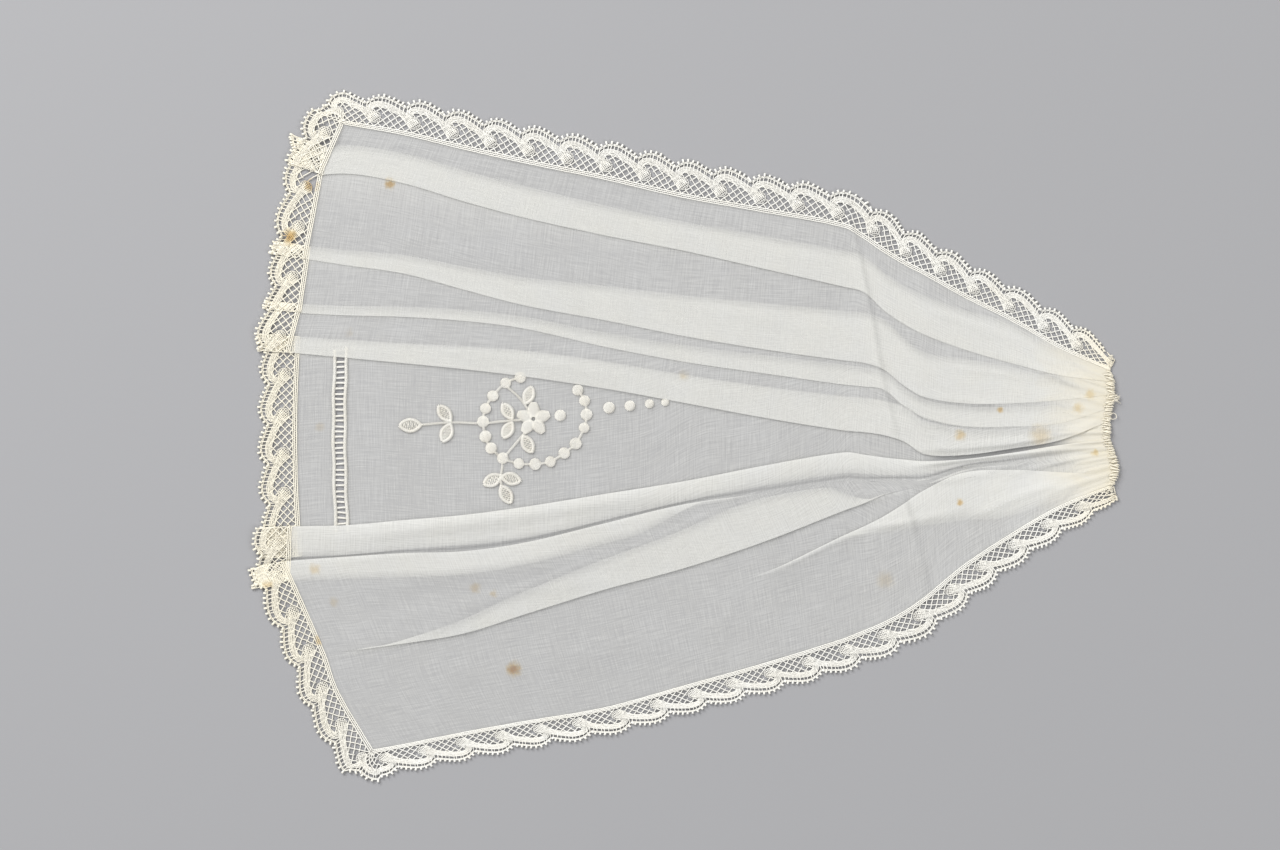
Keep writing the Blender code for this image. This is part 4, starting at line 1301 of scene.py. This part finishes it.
class Shader:
    """A new material, and short ways to add its nodes."""

    def __init__(self, name):
        self.material = bpy.data.materials.new(name)
        self.material.use_nodes = True
        self.tree = self.material.node_tree
        self.tree.nodes.clear()

    def node(self, kind, settings=(), values=(), **named):
        """A node with some settings. Its inputs, in order or by name, are given a value each or
        linked to an output."""
        node = self.tree.nodes.new("ShaderNode" + kind)
        for key, value in dict(settings).items():
            setattr(node, key, value)
        keys = [*range(len(values)), *(name.replace("_", " ") for name in named)]
        for key, value in zip(keys, [*values, *named.values()]):
            if isinstance(value, bpy.types.NodeSocket):
                self.tree.links.new(value, node.inputs[key])
            else:
                node.inputs[key].default_value = value
        return node

    def maths(self, operation, *values):
        return self.node("Math", {"operation": operation}, values).outputs[0]

    def scaled(self, vector, factors):
        return self.node("VectorMath", {"operation": "MULTIPLY"}, (vector, factors)).outputs[0]

    def noise(self, **inputs):
        return self.node("TexNoise", **inputs).outputs["Fac"]

    def streaks(self, coordinate, stretch):
        """Noise drawn out into thread-like streaks: 0 to 1, about one half."""
        vector = self.scaled(coordinate, stretch)
        return self.noise(Vector=vector, Scale=1.0, Detail=2.0, Roughness=0.6)

    def attribute(self, name):
        return self.node("Attribute", {"attribute_name": name}).outputs["Fac"]

    def between(self, share, start, end):
        """A colour from start to end."""
        return self.node("Mix", {"data_type": "RGBA"}, Factor=share, A=start, B=end).outputs["Result"]

    def ramp(self, value, low, high, start, end):
        """value from low to high, mapped on a colour from start to end."""
        share = self.node("MapRange", Value=value, From_Min=low, From_Max=high).outputs[0]
        return self.between(share, start, end)

    def bump(self, height, strength, distance):
        return self.node("Bump", Height=height, Strength=strength, Distance=distance).outputs[0]

    def mixed(self, *values):
        return self.node("MixShader", values=values).outputs[0]

    def finish(self, surface):
        self.node("OutputMaterial", Surface=surface)
        return self.material

    def page(self):
        """The place on the page, without the height, in metres."""
        return self.scaled(self.node("TexCoord").outputs["Object"], (1.0, 1.0, 0.0))

    def stained(self, page, colour, stains):
        """The colour with the stains mixed into it, each with an uneven edge."""
        noise = self.noise(Vector=page, Scale=900.0, Detail=3.0, Roughness=0.6)
        uneven = self.maths("MULTIPLY", self.maths("SUBTRACT", noise, 0.5), STAIN_SHAKE)
        total = None
        for x, y, radius, strength in stains:
            middle = to_metres((x, y, 0.0))
            gap = self.node("VectorMath", {"operation": "DISTANCE"}, (page, middle)).outputs["Value"]
            near = self.node(
                "MapRange", {"interpolation_type": "SMOOTHSTEP"},
                Value=self.maths("ADD", gap, uneven),
                From_Min=radius * MM * STAIN_EDGE, From_Max=radius * MM * STAIN_FULL, To_Max=strength,
            ).outputs[0]
            total = near if total is None else self.maths("MAXIMUM", total, near)
        colour = self.between(total, colour, STAIN_HALO)
        return self.between(self.maths("POWER", total, 3.0), colour, STAIN_CORE)


# Rust and tea coloured marks: (x, y, radius, strength)
STAINS = (
    (-73.4, 62.2, 1.5, 0.75), (-42.4, -59.0, 2.1, 0.95), (-52.1, -38.8, 1.5, 0.5),
    (-47.4, -40.2, 1.0, 0.45), (-90.9, 1.5, 1.3, 0.3), (-92.1, -34.0, 1.6, 0.3),
    (-87.4, -42.2, 1.4, 0.35), (50.4, -36.8, 2.4, 0.3), (0.0, 14.5, 1.4, 0.25),
    (69.1, -17.2, 1.0, 0.6), (79.1, 6.0, 0.9, 0.6), (98.6, 6.2, 1.5, 0.4), (69.1, -0.5, 1.6, 0.45),
    (89.1, -0.5, 3.0, 0.3), (102.8, -5.0, 1.1, 0.5), (101.5, 9.6, 1.5, 0.4), (-83.5, 25.0, 1.2, 0.2),
)
LACE_STAINS = (
    (-93.1, 62.0, 2.0, 0.7), (-98.4, 49.0, 2.3, 0.75), (-103.9, -38.0, 1.5, 0.4),
    (-90.9, -51.8, 1.6, 0.5),
)
STAIN_HALO = (0.74, 0.53, 0.16, 1.0)
STAIN_CORE = (0.46, 0.20, 0.02, 1.0)
# A stain fades out at this share of its radius, is full at the other, and wavers this far (m)
STAIN_EDGE = 1.25
STAIN_FULL = 0.2
STAIN_SHAKE = 0.0022

LAWN_DARK = (0.83, 0.825, 0.79, 1.0)
LAWN_PALE = (0.80, 0.80, 0.78, 1.0)
# Streaks along each way of the cut cloth, and clouds over it
WEFT_STRETCH = (14.0, 330.0, 1.0)
WARP_STRETCH = (330.0, 14.0, 1.0)
CLOUD_STRETCH = (9.0, 9.0, 1.0)
# What share of the light one layer stops, how much that varies, and how much more a fold stops
LAWN_COVER = 0.37
WEAVE_CONTRAST = 0.9
CLOUD_CONTRAST = 0.25
FOLD_COVER = 0.34
LEAST_OPEN = 0.05
# How much of the cloth's cover the painted shade takes away at most: right at a hidden inner edge,
# and across the slit between the middle pleats
PAINTED_SHADE_SHARE = 0.7
LAWN_TRANSLUCENCE = 0.27
THREAD_TRANSLUCENCE = 0.12
# The cream tint that grows towards the neck, and how unevenly it starts
NECK_TINT = (0.85, 0.795, 0.655, 1.0)
NECK_TINT_FROM = (0.088, 0.108)
NECK_TINT_DRIFT = 0.02
# The hem's lace has yellowed more than the lace along the sides, and so have the lace's ends
HEM_TINT = (0.95, 0.90, 0.76, 1.0)
HEM_TINT_FROM = (-0.100, -0.076)
LACE_END_TINT = (0.95, 0.89, 0.74, 1.0)
LACE_END_TINT_FROM = (0.094, 0.107)


def lawn_material():
    """Sheer cotton lawn: uneven threads both ways, denser where it is gathered, with old stains."""
    shader = Shader("sheer_lawn")
    maths = shader.maths
    cloth = shader.node("UVMap", {"uv_map": "cloth"}).outputs[0]
    page = shader.page()
    cloudy = shader.streaks(cloth, CLOUD_STRETCH)
    weft, warp = (
        maths("MULTIPLY", shader.streaks(cloth, stretch), 0.5)
        for stretch in (WEFT_STRETCH, WARP_STRETCH)
    )
    woven = maths("ADD", weft, warp)

    weave = maths("MULTIPLY", woven, WEAVE_CONTRAST)
    clouds = maths("MULTIPLY", maths("SUBTRACT", 0.5, cloudy), CLOUD_CONTRAST)
    clouded = maths("ADD", maths("SUBTRACT", 1 - LAWN_COVER + 0.5 * WEAVE_CONTRAST, weave), clouds)
    eased = maths("SUBTRACT", clouded, maths("MULTIPLY", shader.attribute("fold"), FOLD_COVER))
    open_share = maths("POWER", maths("MAXIMUM", eased, LEAST_OPEN), shader.attribute("gathered"))
    # Painted shade: the cloth's cover is thinned at hidden inner edges and in the slit between the
    # middle pleats
    cover_after_shade = maths("SUBTRACT", 1.0, maths("MULTIPLY", shader.attribute("painted_shade"), PAINTED_SHADE_SHARE))
    cover = maths("MULTIPLY", maths("SUBTRACT", 1.0, open_share), cover_after_shade)

    toned = shader.ramp(cloudy, 0.3, 0.7, LAWN_DARK, LAWN_PALE)
    drift = maths("MULTIPLY", maths("SUBTRACT", cloudy, 0.5), NECK_TINT_DRIFT)
    along = shader.node("SeparateXYZ", values=(page,)).outputs["X"]
    tinted = shader.ramp(maths("ADD", along, drift), *NECK_TINT_FROM, toned, NECK_TINT)
    colour = shader.stained(page, tinted, STAINS)

    normal = shader.bump(woven, 0.35, 0.00012)
    front = shader.node(
        "BsdfPrincipled", Base_Color=colour, Normal=normal,
        Roughness=0.85, Sheen_Weight=0.15, Sheen_Roughness=0.5, Specular_IOR_Level=0.2,
    )
    through = shader.node("BsdfTranslucent", Color=colour, Normal=normal)
    lit = shader.mixed(LAWN_TRANSLUCENCE, front.outputs[0], through.outputs[0])
    return shader.finish(shader.mixed(cover, shader.node("BsdfTransparent").outputs[0], lit))


def thread_material(name, pale, dark, roughness, stains):
    """Cotton thread: a fine twist, a slightly uneven colour and a soft sheen."""
    shader = Shader(name)
    page = shader.page()
    noise = shader.noise(Vector=page, Scale=160.0, Detail=4.0, Roughness=0.6)
    colour = shader.ramp(noise, 0.3, 0.7, dark, pale)
    if stains:
        along = shader.node("SeparateXYZ", values=(page,)).outputs["X"]
        colour = shader.ramp(along, *HEM_TINT_FROM, HEM_TINT, colour)
        colour = shader.ramp(along, *LACE_END_TINT_FROM, colour, LACE_END_TINT)
        colour = shader.stained(page, colour, stains)
    normal = shader.bump(shader.noise(Vector=page, Scale=9000.0, Detail=1.0), 0.4, 0.00005)
    front = shader.node(
        "BsdfPrincipled", Base_Color=colour, Normal=normal,
        Roughness=roughness, Sheen_Weight=0.2, Specular_IOR_Level=0.3,
    )
    through = shader.node("BsdfTranslucent", Color=colour)
    return shader.finish(shader.mixed(THREAD_TRANSLUCENCE, front.outputs[0], through.outputs[0]))


FLOOR_COLOUR = (0.33, 0.33, 0.34, 1.0)
FLOOR_HALF = 2.0


def make_floor():
    shader = Shader("floor_card")
    normal = shader.bump(shader.noise(Scale=700.0, Detail=3.0), 0.15, 0.0002)
    front = shader.node(
        "BsdfPrincipled", Base_Color=FLOOR_COLOUR, Normal=normal,
        Roughness=0.95, Specular_IOR_Level=0.1,
    )
    data = bpy.data.meshes.new("floor")
    signs = ((-1, -1), (1, -1), (1, 1), (-1, 1))
    data.from_pydata([(x * FLOOR_HALF, y * FLOOR_HALF, 0.0) for x, y in signs], [], [(0, 1, 2, 3)])
    data.materials.append(shader.finish(front.outputs[0]))
    floor = add_object("floor", data)


# The photograph's frame: 0.25 mm a pixel, 1280 pixels wide, and where its middle lies
PHOTO_WIDTH = 0.320
VIEW_X = -0.010675
VIEW_Y = 0.0027
CAMERA_HEIGHT = 0.9
SENSOR = 36.0


def make_camera():
    data = bpy.data.cameras.new("camera")
    data.sensor_width = SENSOR
    data.lens = SENSOR * CAMERA_HEIGHT / PHOTO_WIDTH
    data.clip_start = 0.01
    data.clip_end = 10.0
    camera = add_object("camera", data)
    camera.location = (VIEW_X, VIEW_Y, CAMERA_HEIGHT)
    bpy.context.scene.camera = camera


# Soft studio light: place, size and power of each lamp
LAMPS = (
    ("key", (-0.58, 0.66, 0.84), 0.7, 15.0),
    ("fill", (0.7, -0.5, 1.1), 1.0, 8.0),
)
WORLD_STRENGTH = 0.45


def make_lights():
    for name, place, size, power in LAMPS:
        data = bpy.data.lights.new(name, "AREA")
        data.size = size
        data.energy = power
        lamp = add_object(name, data)
        lamp.location = place
        lamp.rotation_euler = (-Vector(place)).to_track_quat("-Z", "Y").to_euler()
    world = bpy.data.worlds.new("studio")
    world.use_nodes = True
    background = world.node_tree.nodes["Background"]
    background.inputs["Color"].default_value = (1.0, 1.0, 1.0, 1.0)
    background.inputs["Strength"].default_value = WORLD_STRENGTH
    bpy.context.scene.world = world
    bpy.context.scene.view_settings.view_transform = "Standard"


def main():
    make_camera()
    make_lights()
    make_floor()

    shares, ladder_row = lawn_stations()
    rows = split_long_steps(np.array([section(share) for share in shares]))
    lawn = make_lawn(rows, shares, ladder_row, lawn_material())
    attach(lawn, "root")
    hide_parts("panel")

    lace_thread = thread_material(
        "lace_thread", (0.97, 0.96, 0.91, 1.0), (0.95, 0.925, 0.85, 1.0), 0.8, LACE_STAINS
    )
    stitch_thread = thread_material(
        "stitch_thread", (0.93, 0.915, 0.86, 1.0), (0.90, 0.865, 0.78, 1.0), 0.6, ()
    )
    lace = Lace(rows)
    trims = make_lace(lace, lace_thread)
    for piece in trims:
        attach(piece, "root")
    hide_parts("lace_edging")

    stitches = make_ladder(rows, ladder_row, stitch_thread) + make_whitework(stitch_thread)
    stitches.append((make_neck_stitches(rows, lace, lace_thread), None))
    for piece, node in stitches:
        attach(piece, "root")
        if node:
            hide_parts(node)


main()
